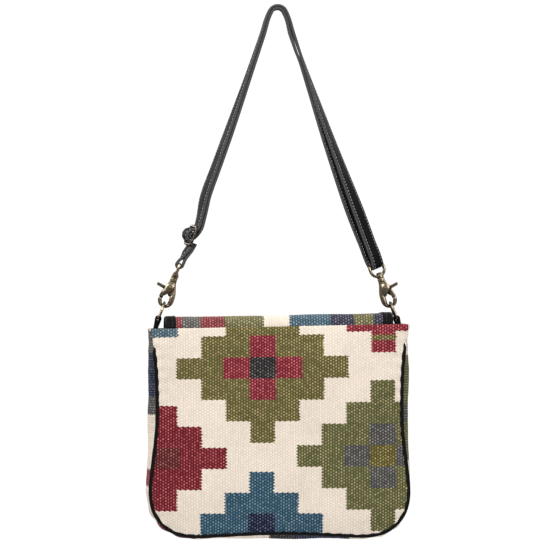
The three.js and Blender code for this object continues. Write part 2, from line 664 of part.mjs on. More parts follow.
function sideHardware(side, word, twist) {
  const ringGroup = group(piece(`d_ring_${word}`, ring(), brass));
  ringGroup.position.set(side * ringBar.x, 0, ringBar.z);
  ringGroup.rotation.y = -side * claspLean;

  const gateGroup = group(
    piece(`gate_${word}`, gate(), brass),
    piece(`gate_pin_${word}`, gatePin(), brass),
    piece(`gate_spring_${word}`, gateSpring(), springSteel),
  );
  gateGroup.position.set(PIN_OFFSET, 0, PIN_HEIGHT);
  const eyePiece = piece(`swivel_eye_${word}`, eye(), brass);
  eyePiece.rotation.z = Math.PI / 2 - twist;
  const clasp = group(piece(`clasp_hook_${word}`, hook(), brass), gateGroup, eyePiece);
  clasp.position.set(side * openingMiddle.x, 0, openingMiddle.z);
  clasp.rotation.set(0, -side * claspLean, side > 0 ? 0 : Math.PI);
  return group(piece(`tab_${word}`, tab(side), leather), ringGroup, clasp);
}

// Strap

const eyeBar = {
  x: openingMiddle.x - eyeBarHeight * Math.sin(claspLean),
  z: openingMiddle.z + eyeBarHeight * Math.cos(claspLean),
};

// Middle line between the strap's layers, from the left eye over the crest to the right eye
function strapLine() {
  const chord = Math.atan2(eyeBar.x - crestMiddleRadius, crestMiddle - eyeBar.z);
  const topLean = 2 * chord - claspLean;
  const leaveX = crestMiddleRadius * Math.cos(topLean);
  const leaveZ = crestMiddle + crestMiddleRadius * Math.sin(topLean);
  const third = Math.hypot(eyeBar.x - leaveX, leaveZ - eyeBar.z) / 3;
  const leg = (side) => [
    place(side * leaveX, 0, leaveZ),
    place(side * (leaveX + third * Math.sin(topLean)), 0, leaveZ - third * Math.cos(topLean)),
    place(side * (eyeBar.x - third * Math.sin(claspLean)), 0, eyeBar.z + third * Math.cos(claspLean)),
    place(side * eyeBar.x, 0, eyeBar.z),
  ];
  const left = new THREE.CubicBezierCurve3(...leg(-1).toReversed());
  const right = new THREE.CubicBezierCurve3(...leg(1));
  const legLength = left.getLength();
  const crestTurn = Math.PI - 2 * topLean;
  const crestLength = crestMiddleRadius * crestTurn;
  const at = (s) => {
    if (s <= legLength) {
      const share = Math.max(0, s / legLength);
      const along = left.getTangentAt(share);
      return { point: left.getPointAt(share).addScaledVector(along, Math.min(0, s)), along };
    }
    if (s < legLength + crestLength) {
      const turn = Math.PI - topLean - (s - legLength) / crestMiddleRadius;
      const [c, d] = [Math.cos(turn), Math.sin(turn)];
      const point = place(crestMiddleRadius * c, 0, crestMiddle + crestMiddleRadius * d);
      return { point, along: place(d, 0, -c) };
    }
    const past = Math.max(0, s - legLength - crestLength);
    const share = Math.min(1, past / legLength);
    const along = right.getTangentAt(share);
    return { point: right.getPointAt(share).addScaledVector(along, Math.max(0, past - legLength)), along };
  };
  return { at, legLength, crestLength, length: 2 * legLength + crestLength };
}

const middleLine = strapLine();
const rightTwist = degToRad(RIGHT_TWIST);

const barReach = SLIDER_WIRE / 2 + RUNNING_GAP + STRAP_THICK / 2;
const overReach = barReach + STRAP_THICK + SEAM_GAP;
const eyeReach = EYE_WIRE / 2 + RUNNING_GAP + STRAP_THICK / 2;
const weave = degToRad(WEAVE_ANGLE);
const barPitch = (barReach + overReach) / Math.sin(weave);
const sliderLow = SLIDER_DISTANCE - barPitch;
const sliderHigh = SLIDER_DISTANCE + barPitch;
const mergeEnd = sliderHigh + LAYER_MERGE;

// Turn of the strap about its own length, towards the back panel's side, even along the slider
function twistAt(s) {
  const { legLength, crestLength } = middleLine;
  if (s < legLength) {
    const fade = Math.min(1, (legLength - s) / (legLength - mergeEnd));
    return degToRad(LEFT_TWIST) * fade * smoothstep(s, eyeReach, sliderLow - barReach);
  }
  const past = Math.max(0, s - legLength - crestLength);
  return rightTwist * Math.min(1, past / legLength) ** 2;
}

// Directions at a length s along the middle line: along it, out of the strap's face and across its width
function strapFrame(s) {
  const { point, along } = middleLine.at(s);
  const twist = twistAt(s);
  const out = place(-along.z * Math.cos(twist), -Math.sin(twist), along.x * Math.cos(twist));
  return { point, along, out, across: along.clone().cross(out) };
}

// Half the distance between the layers on the right leg, at a distance from the right eye
function fanAt(fromEye) {
  const near = lerp(eyeReach, LAYER_FAN / 2, smoothstep(fromEye, 0, FAN_START));
  return lerp(near, layerHalf, smoothstep(fromEye, FAN_START, FAN_END));
}

// The whole strap as stations of length s along the middle line and height b off it,
// from the sewn end under the slider round both eyes to the end sewn on the slider's middle bar
function strapRoute() {
  const { length, legLength, crestLength } = middleLine;
  const [low, high] = [sliderLow, sliderHigh];
  const tip = low + STRAP_TIP;
  const quarter = Math.PI / 2;
  const route = [];
  const add = (s, b) => route.push(new THREE.Vector2(s, b));
  const arc = (middle, radius, from, to) => {
    const steps = Math.ceil(Math.abs(to - from) / degToRad(ARC_STEP));
    for (let i = 0; i <= steps; i++) {
      const angle = lerp(from, to, i / steps);
      add(middle + radius * Math.cos(angle), radius * Math.sin(angle));
    }
  };
  const between = (from, to, steps) =>
    Array.from({ length: steps }, (_, i) => lerp(from, to, (i + 1) / steps));
  const layer = (sign, close) => (s) => {
    if (s < mergeEnd) return lerp(close, sign * layerHalf, smoothstep(s, high, mergeEnd));
    return sign * fanAt(length - s);
  };
  const upper = layer(1, -barReach);
  const under = layer(-1, -overReach);
  const crossing = [
    ...between(high, mergeEnd, MERGE_STEPS),
    ...between(mergeEnd, legLength, LEFT_LEG_STEPS),
    ...between(legLength, legLength + crestLength, CREST_STEPS),
    ...between(legLength + crestLength, length, RIGHT_LEG_STEPS).slice(0, -1),
  ];

  add(tip, -overReach);
  for (const s of between(tip, 0, TAIL_STEPS).slice(0, -1)) {
    add(s, lerp(-eyeReach, -overReach, smoothstep(s, 0, tip)));
  }
  arc(0, eyeReach, -quarter, -3 * quarter);
  for (const s of between(0, low, TAIL_STEPS).slice(0, -1)) {
    add(s, lerp(eyeReach, -barReach, smoothstep(s, 0, low)));
  }
  arc(low, barReach, -quarter, weave - quarter);
  arc(SLIDER_DISTANCE, overReach, quarter + weave, quarter - weave);
  arc(high, barReach, -quarter - weave, -quarter);
  for (const s of crossing) add(s, upper(s));
  arc(length, eyeReach, quarter, -quarter);
  for (const s of crossing.toReversed()) add(s, under(s));
  const slant = Math.asin((overReach - barReach) / barPitch);
  arc(high, overReach, -quarter, -quarter - slant);
  arc(SLIDER_DISTANCE, barReach, -quarter - slant, -quarter - slant - degToRad(STRAP_WRAP));
  return route;
}

function strap() {
  const route = strapRoute();
  const last = route.length - 1;
  const middles = route.map(({ x, y }) => {
    const { point, out } = strapFrame(x);
    return point.addScaledVector(out, y);
  });
  return warp(last, 1, 1, (u, v, w) => {
    const i = Math.round(u * last);
    const along = middles[Math.min(last, i + 1)].clone().sub(middles[Math.max(0, i - 1)]);
    const { across } = strapFrame(route[i].x);
    const face = across.clone().cross(along).normalize();
    return middles[i]
      .clone()
      .addScaledVector(across, STRAP_WIDTH * (v - 0.5))
      .addScaledVector(face, STRAP_THICK * (w - 0.5));
  });
}

// Slider: a wire frame with a middle bar, its bars along X and the strap's length along Z
function slider() {
  const half = STRAP_WIDTH / 2 + STRAP_SIDE_PLAY + SLIDER_WIRE / 2;
  const [x, z] = [half - SLIDER_BEND, barPitch - SLIDER_BEND];
  const path = new THREE.Path();
  path.moveTo(0, -barPitch);
  path.absarc(x, -z, SLIDER_BEND, -Math.PI / 2, 0);
  path.absarc(x, z, SLIDER_BEND, 0, Math.PI / 2);
  path.absarc(-x, z, SLIDER_BEND, Math.PI / 2, Math.PI);
  path.absarc(-x, -z, SLIDER_BEND, Math.PI, 1.5 * Math.PI);
  path.lineTo(0, -barPitch);
  const frame = solid(wireLoop(path, SLIDER_WIRE, (p) => place(p.x, 0, p.y)));
  const bar = new THREE.CylinderGeometry(SLIDER_WIRE / 2, SLIDER_WIRE / 2, 2 * half, WIRE_SIDES)
    .rotateZ(Math.PI / 2);
  return facets(frame.add(solid(bar)));
}

function strapSlider() {
  const mesh = piece('strap_slider', slider(), brass);
  const { point, along, out, across } = strapFrame(SLIDER_DISTANCE);
  mesh.position.copy(point);
  mesh.quaternion.setFromRotationMatrix(new THREE.Matrix4().makeBasis(across.negate(), out, along));
  return mesh;
}

const body = group(
  piece('back_panel', panel(-1), kilim),
  piece('front_panel', panel(1), kilim),
  piece('gusset', gusset(), kilim),
  piece('back_piping', piping(-1), leather),
  piece('front_piping', piping(1), leather),
  piece('lining', lining(), liningCloth),
  piece('flap', flapSheet(FLAP_CLOTH, 0), kilim),
  piece('flap_lining', flapSheet(FLAP_LINING, -(FLAP_CLOTH + FLAP_LINING) / 2 - SEAM_GAP), liningCloth),
  piece('flap_binding', flapBinding(), leather),
  piece('snap_socket', snapHalf(SNAP_SOCKET, snapBack), snapNickel),
  piece('snap_stud', snapHalf(SNAP_STUD, studBack), snapNickel),
);
body.position.y = -TAB_FORWARD;

const bag = group(
  body,
  sideHardware(-1, 'left', 0),
  sideHardware(1, 'right', rightTwist),
  piece('strap', strap(), leather),
  strapSlider(),
);
bag.position.z = -crestHeight;

export default bag;
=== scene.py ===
"""Looks of a woven flap shoulder bag that hangs by a doubled leather strap.

Lengths are in metres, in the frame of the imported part: +X across the bag, to the right as seen
from behind, +Y from the back panel to the flap, +Z up, and the origin under the strap's crest.
Outlines and patterns are tables of millimetres.
"""

import json
import math
from functools import partial

import bmesh
import bpy
import numpy as np
from mathutils import Matrix
from mathutils import Vector


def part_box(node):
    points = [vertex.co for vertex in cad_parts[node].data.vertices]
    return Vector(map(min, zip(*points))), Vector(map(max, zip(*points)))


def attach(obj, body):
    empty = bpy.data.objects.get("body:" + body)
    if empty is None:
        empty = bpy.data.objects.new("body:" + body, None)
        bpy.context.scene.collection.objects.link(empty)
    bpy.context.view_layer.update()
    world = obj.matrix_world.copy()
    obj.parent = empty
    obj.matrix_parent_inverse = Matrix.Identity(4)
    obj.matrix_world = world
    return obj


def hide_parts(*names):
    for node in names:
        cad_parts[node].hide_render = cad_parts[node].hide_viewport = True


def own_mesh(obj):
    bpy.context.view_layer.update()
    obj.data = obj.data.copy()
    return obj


bl_info = {
    "name": "Woven Shoulder Bag",
    "version": (1, 0, 0),
    "blender": (4, 5, 0),
    "location": "View3D > Sidebar > Bag",
    "description": "Dresses the packed shoulder bag in woven cloth, leather and antique brass",
    "category": "Add Mesh",
}

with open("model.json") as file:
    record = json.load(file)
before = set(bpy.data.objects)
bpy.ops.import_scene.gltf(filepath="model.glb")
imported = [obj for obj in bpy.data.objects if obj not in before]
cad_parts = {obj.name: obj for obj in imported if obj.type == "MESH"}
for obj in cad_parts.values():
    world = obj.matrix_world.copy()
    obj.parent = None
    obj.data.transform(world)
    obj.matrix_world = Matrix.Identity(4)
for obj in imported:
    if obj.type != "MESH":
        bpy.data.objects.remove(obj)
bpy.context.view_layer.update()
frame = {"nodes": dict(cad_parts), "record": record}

MM = 0.001
TOUCH = 0.01 * MM  # places closer than this are one place
CLOTH_MAP = "cloth"  # each piece's own map: metres across and along it, laid flat

RECORD = frame["record"]
BODY_OF = {node: body for body, nodes in RECORD["behaviour"]["bodies"].items() for node in nodes}
JOINT_OF = {joint["name"]: joint for joint in RECORD["behaviour"]["joints"]}


# Settings


def dye(name, description, colour):
    return bpy.props.FloatVectorProperty(
        name=name, description=description, default=colour, subtype="COLOR", min=0, max=1
    )


def size(name, description, millimetres):
    return bpy.props.FloatProperty(
        name=name, description=description, default=millimetres * MM, unit="LENGTH", precision=5
    )


def share(name, description, value):
    return bpy.props.FloatProperty(
        name=name, description=description, default=value, subtype="FACTOR", min=0, max=1
    )


def angle(name, description, degrees):
    return bpy.props.FloatProperty(
        name=name, description=description, default=math.radians(degrees), subtype="ANGLE"
    )


class BagCloth(bpy.types.PropertyGroup):
    """Dyes, weave and stepped diamonds of the cloth, and how softly it is sewn"""

    cream: dye("Cream", "Undyed ground of the cloth", (0.83, 0.72, 0.61))
    olive: dye("Olive", "Dye of the upper diamond", (0.095, 0.08, 0.0235))
    red: dye("Red", "Dye of the upper cross", (0.152, 0.0117, 0.0216))
    crimson: dye("Crimson", "Dye of the left diamond", (0.124, 0.005, 0.0125))
    charcoal: dye("Charcoal", "Dye of the upper diamond's heart", (0.012, 0.012, 0.0135))
    rust: dye("Rust", "Dye of the left diamond's cross", (0.077, 0.0075, 0.0095))
    blue: dye("Blue", "Dye of the lower diamond", (0.0185, 0.059, 0.093))
    navy: dye("Navy", "Dye of the lower diamond's cross", (0.001, 0.007, 0.03))
    sky: dye("Sky", "Bleached blue at the left of the mouth", (0.052, 0.085, 0.108))
    moss: dye("Moss", "Dye of the right diamond", (0.084, 0.081, 0.029))
    slate: dye("Slate", "Dye of the right diamond's cross", (0.0523, 0.0514, 0.0493))
    mustard: dye("Mustard", "Dye of the right diamond's heart", (0.088, 0.072, 0.0145))
    lining: dye("Lining", "Plain cotton inside the bag", (0.05, 0.045, 0.04))
    step_width: size("Step width", "Width of one step of a diamond", 25.6)
    rib_width: size("Rib width", "Distance of two upright ribs of the weave", 2.73)
    stitch_height: size("Stitch height", "Distance of two stitches in one rib", 3.14)
    tooth: size("Tooth", "How far the stitches step aside at an upright edge of a dye", 1.6)
    scallop: size("Scallop", "How far the stitches bow at a level edge of a dye", 0.45)
    thick: size("Cloth thickness", "Thickness of panels and gusset", 2.4)
    flap_thick: size("Flap thickness", "Thickness of the flap's cloth", 2.2)
    flap_lining_thick: size("Flap lining thickness", "Thickness of the cloth under the flap", 1.0)
    lining_thick: size("Lining thickness", "Thickness of the bag's lining", 1.2)
    crown: size("Panel crown", "How far a panel stands out between its seams", 5.0)
    pucker: size("Pucker", "Depth of the puckers along a seam", 0.45)
    pucker_pitch: size("Pucker pitch", "Distance of two puckers", 11.0)
    pucker_reach: size("Pucker reach", "How far a pucker runs into the cloth", 9.0)
    slack: size("Slack", "Depth of the soft waves in the cloth", 0.9)
    lopside: size("Lopside", "How much higher the right end of the mouth hangs than its middle", 2.6)
    sag: size("Mouth sag", "How far the middle of the mouth sinks", 1.0)


class BagLeather(bpy.types.PropertyGroup):
    """Leather of strap, tabs, binding and piping, and the thread in it"""

    black: dye("Black", "Dyed leather", (0.005, 0.005, 0.0055))
    edge: dye("Edge", "Burnished edge of the strap", (0.075, 0.076, 0.08))
    thread: dye("Thread", "Waxed thread of the strap", (0.42, 0.41, 0.4))
    dark_thread: dye("Dark thread", "Waxed thread of the flap's binding", (0.045, 0.038, 0.028))
    roughness: share("Roughness", "Roughness of the leather's face", 0.62)
    stitch_pitch: size("Stitch pitch", "Distance of two stitches", 3.4)
    stitch_length: size("Stitch length", "Length of one stitch", 2.5)
    stitch_radius: size("Thread radius", "Radius of the sewing thread", 0.32)
    margin: size("Margin", "Distance of the stitches from the leather's edge", 3.0)


class BagBrass(bpy.types.PropertyGroup):
    """Antique brass of the fittings"""

    bright: dye("Bright", "Rubbed brass", (0.42, 0.345, 0.235))
    dark: dye("Dark", "Tarnish in the recesses", (0.035, 0.027, 0.017))
    polished: dye("Polished", "Plate of the snap", (0.5, 0.43, 0.29))
    dull: dye("Dull", "Worn plate of the slider", (0.2, 0.175, 0.145))
    steel: dye("Steel", "Gate springs", (0.5, 0.5, 0.5))
    grain: size("Cast grain", "Fineness to which castings are remeshed", 0.3)
    rounding: bpy.props.IntProperty(
        name="Rounding", description="Rounds of smoothing on a casting", default=12, min=0, max=40
    )


class BagStage(bpy.types.PropertyGroup):
    """Floor and camera"""

    paper: dye("Paper", "Pale floor", (0.97, 0.97, 0.97))
    drop: size("Drop", "Height of the bag above the floor", 600.0)
    distance: size("Camera distance", "From the camera to the bag", 5000.0)
    view_height: size("View height", "Height of the picture's middle", -278.0)
    view_aside: size("View aside", "Sideways place of the picture's middle", -3.2)
    view_width: size("View width", "Width of the picture at the bag", 577.5)
    azimuth: angle("Azimuth", "Turn of the camera round the bag", -3.0)
    elevation: angle("Elevation", "Height angle of the camera", 0.0)


# Shader expressions


def forward(operation):
    """A method that adds a Math node with the value before the others."""
    return lambda value, *others: value.shader.math(operation, value, *others)


def reflected(operation):
    """A method that adds a Math node with a plain number before the value."""
    return lambda value, number: value.shader.math(operation, number, value)


class Value:
    """One output of a shader node. Sums, products and comparisons of it add Math nodes."""

    def __init__(self, shader, socket):
        self.shader = shader
        self.socket = socket

    __add__, __radd__ = forward("ADD"), reflected("ADD")
    __sub__, __rsub__ = forward("SUBTRACT"), reflected("SUBTRACT")
    __mul__, __rmul__ = forward("MULTIPLY"), reflected("MULTIPLY")
    __truediv__, __rtruediv__ = forward("DIVIDE"), reflected("DIVIDE")
    __mod__, __rmod__ = forward("FLOORED_MODULO"), reflected("FLOORED_MODULO")
    __pow__, __rpow__ = forward("POWER"), reflected("POWER")
    __lt__, __gt__ = forward("LESS_THAN"), forward("GREATER_THAN")
    __abs__ = forward("ABSOLUTE")
    floor, round = forward("FLOOR"), forward("ROUND")
    sine, cosine = forward("SINE"), forward("COSINE")
    larger, smaller = forward("MAXIMUM"), forward("MINIMUM")

    def clamped(self):
        return self.larger(0).smaller(1)


class Shader:
    """The nodes of a material or a world, and the shader that they feed."""

    def __init__(self, block, surface="Principled BSDF"):
        self.block = block
        block.use_nodes = True
        self.tree = block.node_tree
        self.surface = self.tree.nodes[surface]

    def node(self, kind, settings, inputs, output=0):
        """Adds a node, with its settings before the values and links of its sockets."""
        made = self.tree.nodes.new(kind)
        for key, setting in settings.items():
            setattr(made, key, setting)
        for key, value in inputs.items():
            self.feed(made.inputs[key], value)
        return Value(self, made.outputs[output])

    def feed(self, socket, value):
        if isinstance(value, Value):
            self.tree.links.new(value.socket, socket)
        elif socket.type == "RGBA":
            socket.default_value = (*tuple(value)[:3], 1.0)
        else:
            socket.default_value = value

    def set(self, **inputs):
        """Feeds the shader's own sockets."""
        for key, value in inputs.items():
            self.feed(self.surface.inputs[key.replace("_", " ")], value)

    def math(self, operation, *inputs):
        return self.node("ShaderNodeMath", {"operation": operation}, dict(enumerate(inputs)))

    def mix(self, factor, first, second, blend="MIX"):
        """A mix of two colours: sockets 6 and 7 of the node, and its output 2, are the ones for colours."""
        settings = {"data_type": "RGBA", "blend_type": blend}
        return self.node("ShaderNodeMix", settings, {0: factor, 6: first, 7: second}, output=2)

    def shade(self, colour, factor):
        """The colour made darker or lighter by a number that changes over the surface."""
        grey = self.node("ShaderNodeCombineColor", {}, {0: factor, 1: factor, 2: factor})
        return self.mix(1.0, colour, grey, "MULTIPLY")

    def split(self, vector):
        """The first two parts of a vector."""
        return [self.node("ShaderNodeSeparateXYZ", {}, {0: vector}, output=axis) for axis in range(2)]

    def cloth_place(self):
        return self.node("ShaderNodeUVMap", {"uv_map": CLOTH_MAP}, {})

    def solid_place(self):
        return self.node("ShaderNodeTexCoord", {}, {}, output="Object")

    def noise(self, place, scale, detail=2.0, roughness=0.5):
        inputs = {"Vector": place, "Scale": scale, "Detail": detail, "Roughness": roughness}
        return self.node("ShaderNodeTexNoise", {}, inputs)

    def streaks(self, place, scales):
        """Noise with a scale of its own in each direction."""
        return self.noise(self.node("ShaderNodeMapping", {}, {"Vector": place, "Scale": scales}), 1.0)

    def bump(self, height, distance, strength):
        inputs = {"Height": height, "Distance": distance, "Strength": strength}
        return self.node("ShaderNodeBump", {}, inputs)


def new_look(name):
    return Shader(bpy.data.materials.new(name))


# Finishes

DIAMOND_REACH = 3  # steps from a diamond's heart to its points
INNER_STRETCH = 1.07  # a diamond's cross and heart are a little wider than its steps
BEAD_WIDTH = 1.15 * MM  # half width and half height of the bead of a stitch, at which the painted highlight on it dies out
BEAD_HEIGHT = 1.3 * MM
MEAN_HIGHLIGHT = 0.32  # about the mean of the painted highlight over its stitch
DYED_HIGHLIGHT = 1.8  # how much lighter the painted highlight on each stitch makes a dyed ground
# how much lighter the painted highlight on each stitch makes the cream
CREAM_HIGHLIGHT = 0.2
HIGHLIGHT_PALING = 0.055  # how far the painted highlight on a stitch turns a dye towards cream
ABRASH = 0.25  # uneven dyeing from one part of the cloth to another
ABRASH_SCALE = 22.0
WARP_LINES = 0.2  # fine lines along the ribs
WARP_SCALES = (700.0, 60.0, 1.0)
SPECK_SCALE = 520.0  # small dark specks in the yarn
SPECK_START = 0.6
SPECK_EDGE = 8.0
SPECK_DEPTH = 0.12
MELANGE = 0.05  # uneven hue from one stitch to the next
FUZZ_SCALE = 1500.0
FUZZ_HEIGHT = 0.35  # as a share of the height of a stitch's bead
WEAVE_HEIGHT = 0.35 * MM
WEAVE_STRENGTH = 0.7
CLOTH_ROUGHNESS = 0.95
CLOTH_SHINE = 0.15
CLOTH_SHEEN = 0.03
SHEEN_ROUGHNESS = 0.6


def kilim_look(name, cloth, diamonds, bars=(), stripes=(), sheen_paling=0.0):
    """Flat-woven cloth: stepped diamonds and bars, with a painted highlight on each stitch and painted shade
    between.

    A diamond is its heart's place across and along the cloth, the height of its steps, and the dyes of
    its body, cross and heart. A bar is its first and last place across the cloth, the same along it,
    and its dye. Stripes are bars that lie over the diamonds. The last argument is a painted sheen, how far
    all the dyes are paled towards cream.
    """
    shader = new_look(name)
    place = shader.cloth_place()
    across, along = shader.split(place)
    rib = (across / cloth.rib_width).floor()
    half_drop = rib % 2 * 0.5
    stitch = (along / cloth.stitch_height + half_drop).floor()
    wide = (across - (rib + 0.5) * cloth.rib_width) / BEAD_WIDTH
    high = (along - (stitch + 0.5 - half_drop) * cloth.stitch_height) / BEAD_HEIGHT
    # the bead of each stitch: its height for the bump, and a painted highlight at its middle with painted
    # shade in the gaps between
    bead_and_highlight = (1 - wide * wide - high * high).larger(0)
    spot = {"Vector": shader.node("ShaderNodeCombineXYZ", {}, {0: rib, 1: stitch})}
    chance = shader.node("ShaderNodeTexWhiteNoise", {"noise_dimensions": "2D"}, spot)
    hue = shader.node("ShaderNodeTexWhiteNoise", {"noise_dimensions": "2D"}, spot, output="Color")
    tooth = (along * (math.tau / cloth.stitch_height)).cosine() + (chance - 0.5)
    bow = (across * (math.pi / cloth.rib_width)).cosine()
    edge_across = across + tooth * (cloth.tooth / 2)
    edge_along = along + bow * cloth.scallop

    def in_bar(left, right, start, end):
        return (edge_across > left) * (edge_across < right) * (edge_along > start) * (edge_along < end)

    fields = [(in_bar(*edges), tone) for *edges, tone in bars]
    for heart_across, heart_along, step_along, *tones in diamonds:
        steps_along = abs(((edge_along - heart_along) / step_along).round())
        for reach, stretch, tone in zip((DIAMOND_REACH, 1, 0), (1, INNER_STRETCH, INNER_STRETCH), tones):
            steps_across = abs(((edge_across - heart_across) / (cloth.step_width * stretch)).round())
            fields.append((steps_across + steps_along < reach + 0.5, tone))
    fields += [(in_bar(*edges), tone) for *edges, tone in stripes]
    colour = cloth.cream
    dyed = 0.0
    for inside, tone in fields:
        colour = shader.mix(inside, colour, getattr(cloth, tone))
        dyed = inside.larger(dyed)

    warp_lines = shader.streaks(place, WARP_SCALES) - 0.5
    abrash = shader.noise(place, ABRASH_SCALE) - 0.5
    specks = ((shader.noise(place, SPECK_SCALE) - SPECK_START) * SPECK_EDGE).clamped()
    # the painted highlight on each stitch, stronger on some stitches than others
    wear_and_highlight = bead_and_highlight * (0.5 + chance)
    highlight_contrast = CREAM_HIGHLIGHT + dyed * (DYED_HIGHLIGHT - CREAM_HIGHLIGHT)
    # keeps the cream's mean lightness the same under its painted highlights
    ground = 1 - (1 - dyed) * (CREAM_HIGHLIGHT * MEAN_HIGHLIGHT)
    # painted highlights and the painted shade between them, with uneven dyeing, fine warp lines and dark
    # specks
    light = ground + wear_and_highlight * highlight_contrast + abrash * ABRASH + warp_lines * WARP_LINES - specks * SPECK_DEPTH
    mottled = shader.mix(dyed * MELANGE, colour, hue, "OVERLAY")
    # paled towards cream by the painted highlight on each stitch, and all over by the painted sheen
    pale = shader.mix(wear_and_highlight * dyed * HIGHLIGHT_PALING + sheen_paling, mottled, cloth.cream)
    height = bead_and_highlight + shader.noise(place, FUZZ_SCALE) * FUZZ_HEIGHT
    shader.set(
        Base_Color=shader.shade(pale, light),
        Roughness=CLOTH_ROUGHNESS,
        Specular_IOR_Level=CLOTH_SHINE,
        Sheen_Weight=CLOTH_SHEEN,
        Sheen_Roughness=SHEEN_ROUGHNESS,
        Normal=shader.bump(height, WEAVE_HEIGHT, WEAVE_STRENGTH),
    )
    return shader.block


COTTON = "lining cotton"
COTTON_THREAD = 0.55 * MM
COTTON_HEIGHT = 0.12 * MM
COTTON_STRENGTH = 0.6
COTTON_GROUND = 0.75  # lightness before the clouds and the painted highlight on raised threads, as a share of the dye
COTTON_CLOUD = 0.4
COTTON_CLOUD_SCALE = 30.0
# painted highlight where the weave's threads stand up
COTTON_HIGHLIGHT = 0.12
COTTON_ROUGHNESS = 0.9
COTTON_SHEEN = 0.2


def lining_look(cloth):
    """Plain woven cotton with fine threads both ways."""
    shader = new_look(COTTON)
    place = shader.cloth_place()
    over, under = ((way * (math.tau / COTTON_THREAD)).sine() for way in shader.split(place))
    weave = over * under
    cloud = shader.noise(place, COTTON_CLOUD_SCALE)
    shader.set(
        # lighter in random clouds, and a painted highlight on the raised threads
        Base_Color=shader.shade(cloth.lining, COTTON_GROUND + cloud * COTTON_CLOUD + weave * COTTON_HIGHLIGHT),
        Roughness=COTTON_ROUGHNESS,
        Sheen_Weight=COTTON_SHEEN,
        Normal=shader.bump(weave, COTTON_HEIGHT, COTTON_STRENGTH),
    )
    return shader.block


LEATHER_SHINE = 0.08
LEATHER_GROUND = 0.7  # lightness before the clouds, as a share of the dye
LEATHER_CLOUD = 0.8
LEATHER_CLOUD_SCALE = 35.0
LEATHER_SMOOTHER = 0.12  # taken off the roughness, to which clouds and creases add
CLOUD_ROUGHER = 0.16
CREASE_ROUGHER = 0.12
CREASE_SCALE = 260.0
CREASE_DETAIL = 4.0
CREASE_ROUGHNESS = 0.6
CREASE_DEPTH = 0.8
PORE_SCALE = 900.0
PORE_EDGE = 0.25
PORE_DEPTH = 2.0
LEATHER_HEIGHT = 0.05 * MM
LEATHER_STRENGTH = 0.5
STRAP_EDGE_START = 6.7 * MM  # from the strap's middle line
STRAP_EDGE_FADE = 1.5 * MM
STRAP_EDGE_COVER = 0.75  # how far the burnish hides the dye, to which creases add
STRAP_EDGE_CREASE = 0.4
STRAP_EDGE_ROUGHER = 0.15


def leather_look(name, leather, edged=False):
    """Dyed leather with pores, soft creases and, on the strap, burnished grey edges."""
    shader = new_look(name)
    solid = shader.solid_place()
    pore_inputs = {"Vector": solid, "Scale": PORE_SCALE}
    pores = shader.node("ShaderNodeTexVoronoi", {"feature": "DISTANCE_TO_EDGE"}, pore_inputs)
    creases = shader.noise(solid, CREASE_SCALE, CREASE_DETAIL, CREASE_ROUGHNESS)
    cloud = shader.noise(solid, LEATHER_CLOUD_SCALE)
    colour = shader.shade(leather.black, LEATHER_GROUND + cloud * LEATHER_CLOUD)
    roughness = leather.roughness - LEATHER_SMOOTHER + cloud * CLOUD_ROUGHER + creases * CREASE_ROUGHER
    if edged:
        across, _ = shader.split(shader.cloth_place())
        rim = ((abs(across) - STRAP_EDGE_START) / STRAP_EDGE_FADE).clamped()
        burnish = rim * (STRAP_EDGE_COVER + creases * STRAP_EDGE_CREASE)
        colour = shader.mix(burnish, colour, leather.edge)
        roughness = roughness + rim * STRAP_EDGE_ROUGHER
    height = pores.smaller(PORE_EDGE) * PORE_DEPTH + creases * CREASE_DEPTH
    shader.set(
        Base_Color=colour,
        Roughness=roughness,
        Specular_IOR_Level=LEATHER_SHINE,
        Normal=shader.bump(height, LEATHER_HEIGHT, LEATHER_STRENGTH),
    )
    return shader.block


TWIST_SCALE = 1800.0
TWIST_HEIGHT = 0.06 * MM
TWIST_STRENGTH = 0.6
TWIST_SHADE = 0.65  # painted shade: lightness in the twist's grooves, to which the painted highlight on its ridges adds
TWIST_HIGHLIGHT = 0.7
THREAD_ROUGHNESS = 0.7


def thread_look(name, colour):
    """Waxed thread with its twist, with painted shade in its grooves and a painted highlight on its ridges.
    """
    shader = new_look(name)
    twist = shader.noise(shader.solid_place(), TWIST_SCALE)
    shader.set(
        # darker in the twist's grooves and lighter on its ridges: painted shade and painted highlight
        Base_Color=shader.shade(colour, TWIST_SHADE + twist * TWIST_HIGHLIGHT),
        Roughness=THREAD_ROUGHNESS,
        Normal=shader.bump(twist, TWIST_HEIGHT, TWIST_STRENGTH),
    )
    return shader.block


RECESS_DEPTH = 3.5 * MM
RECESS_SAMPLES = 8
TARNISH_EDGE = 3.0  # how sharply the tarnish ends where the metal comes out into the open
TARNISH_START = 2.2
TARNISH_UNEVEN = 0.9
TARNISH_ROUGHER = 0.25
TARNISH_SCALE = 180.0
TARNISH_DETAIL = 4.0
TARNISH_ROUGHNESS = 0.65
UNEVEN_SHINE = 0.15
SCRATCH_SCALES = (3000.0, 500.0, 500.0)
SCRATCH_DEPTH = 0.25
METAL_HEIGHT = 0.05 * MM
METAL_STRENGTH = 0.35
BRASS_ROUGHNESS = 0.28
PLATE_ROUGHNESS = 0.22
STEEL_ROUGHNESS = 0.3


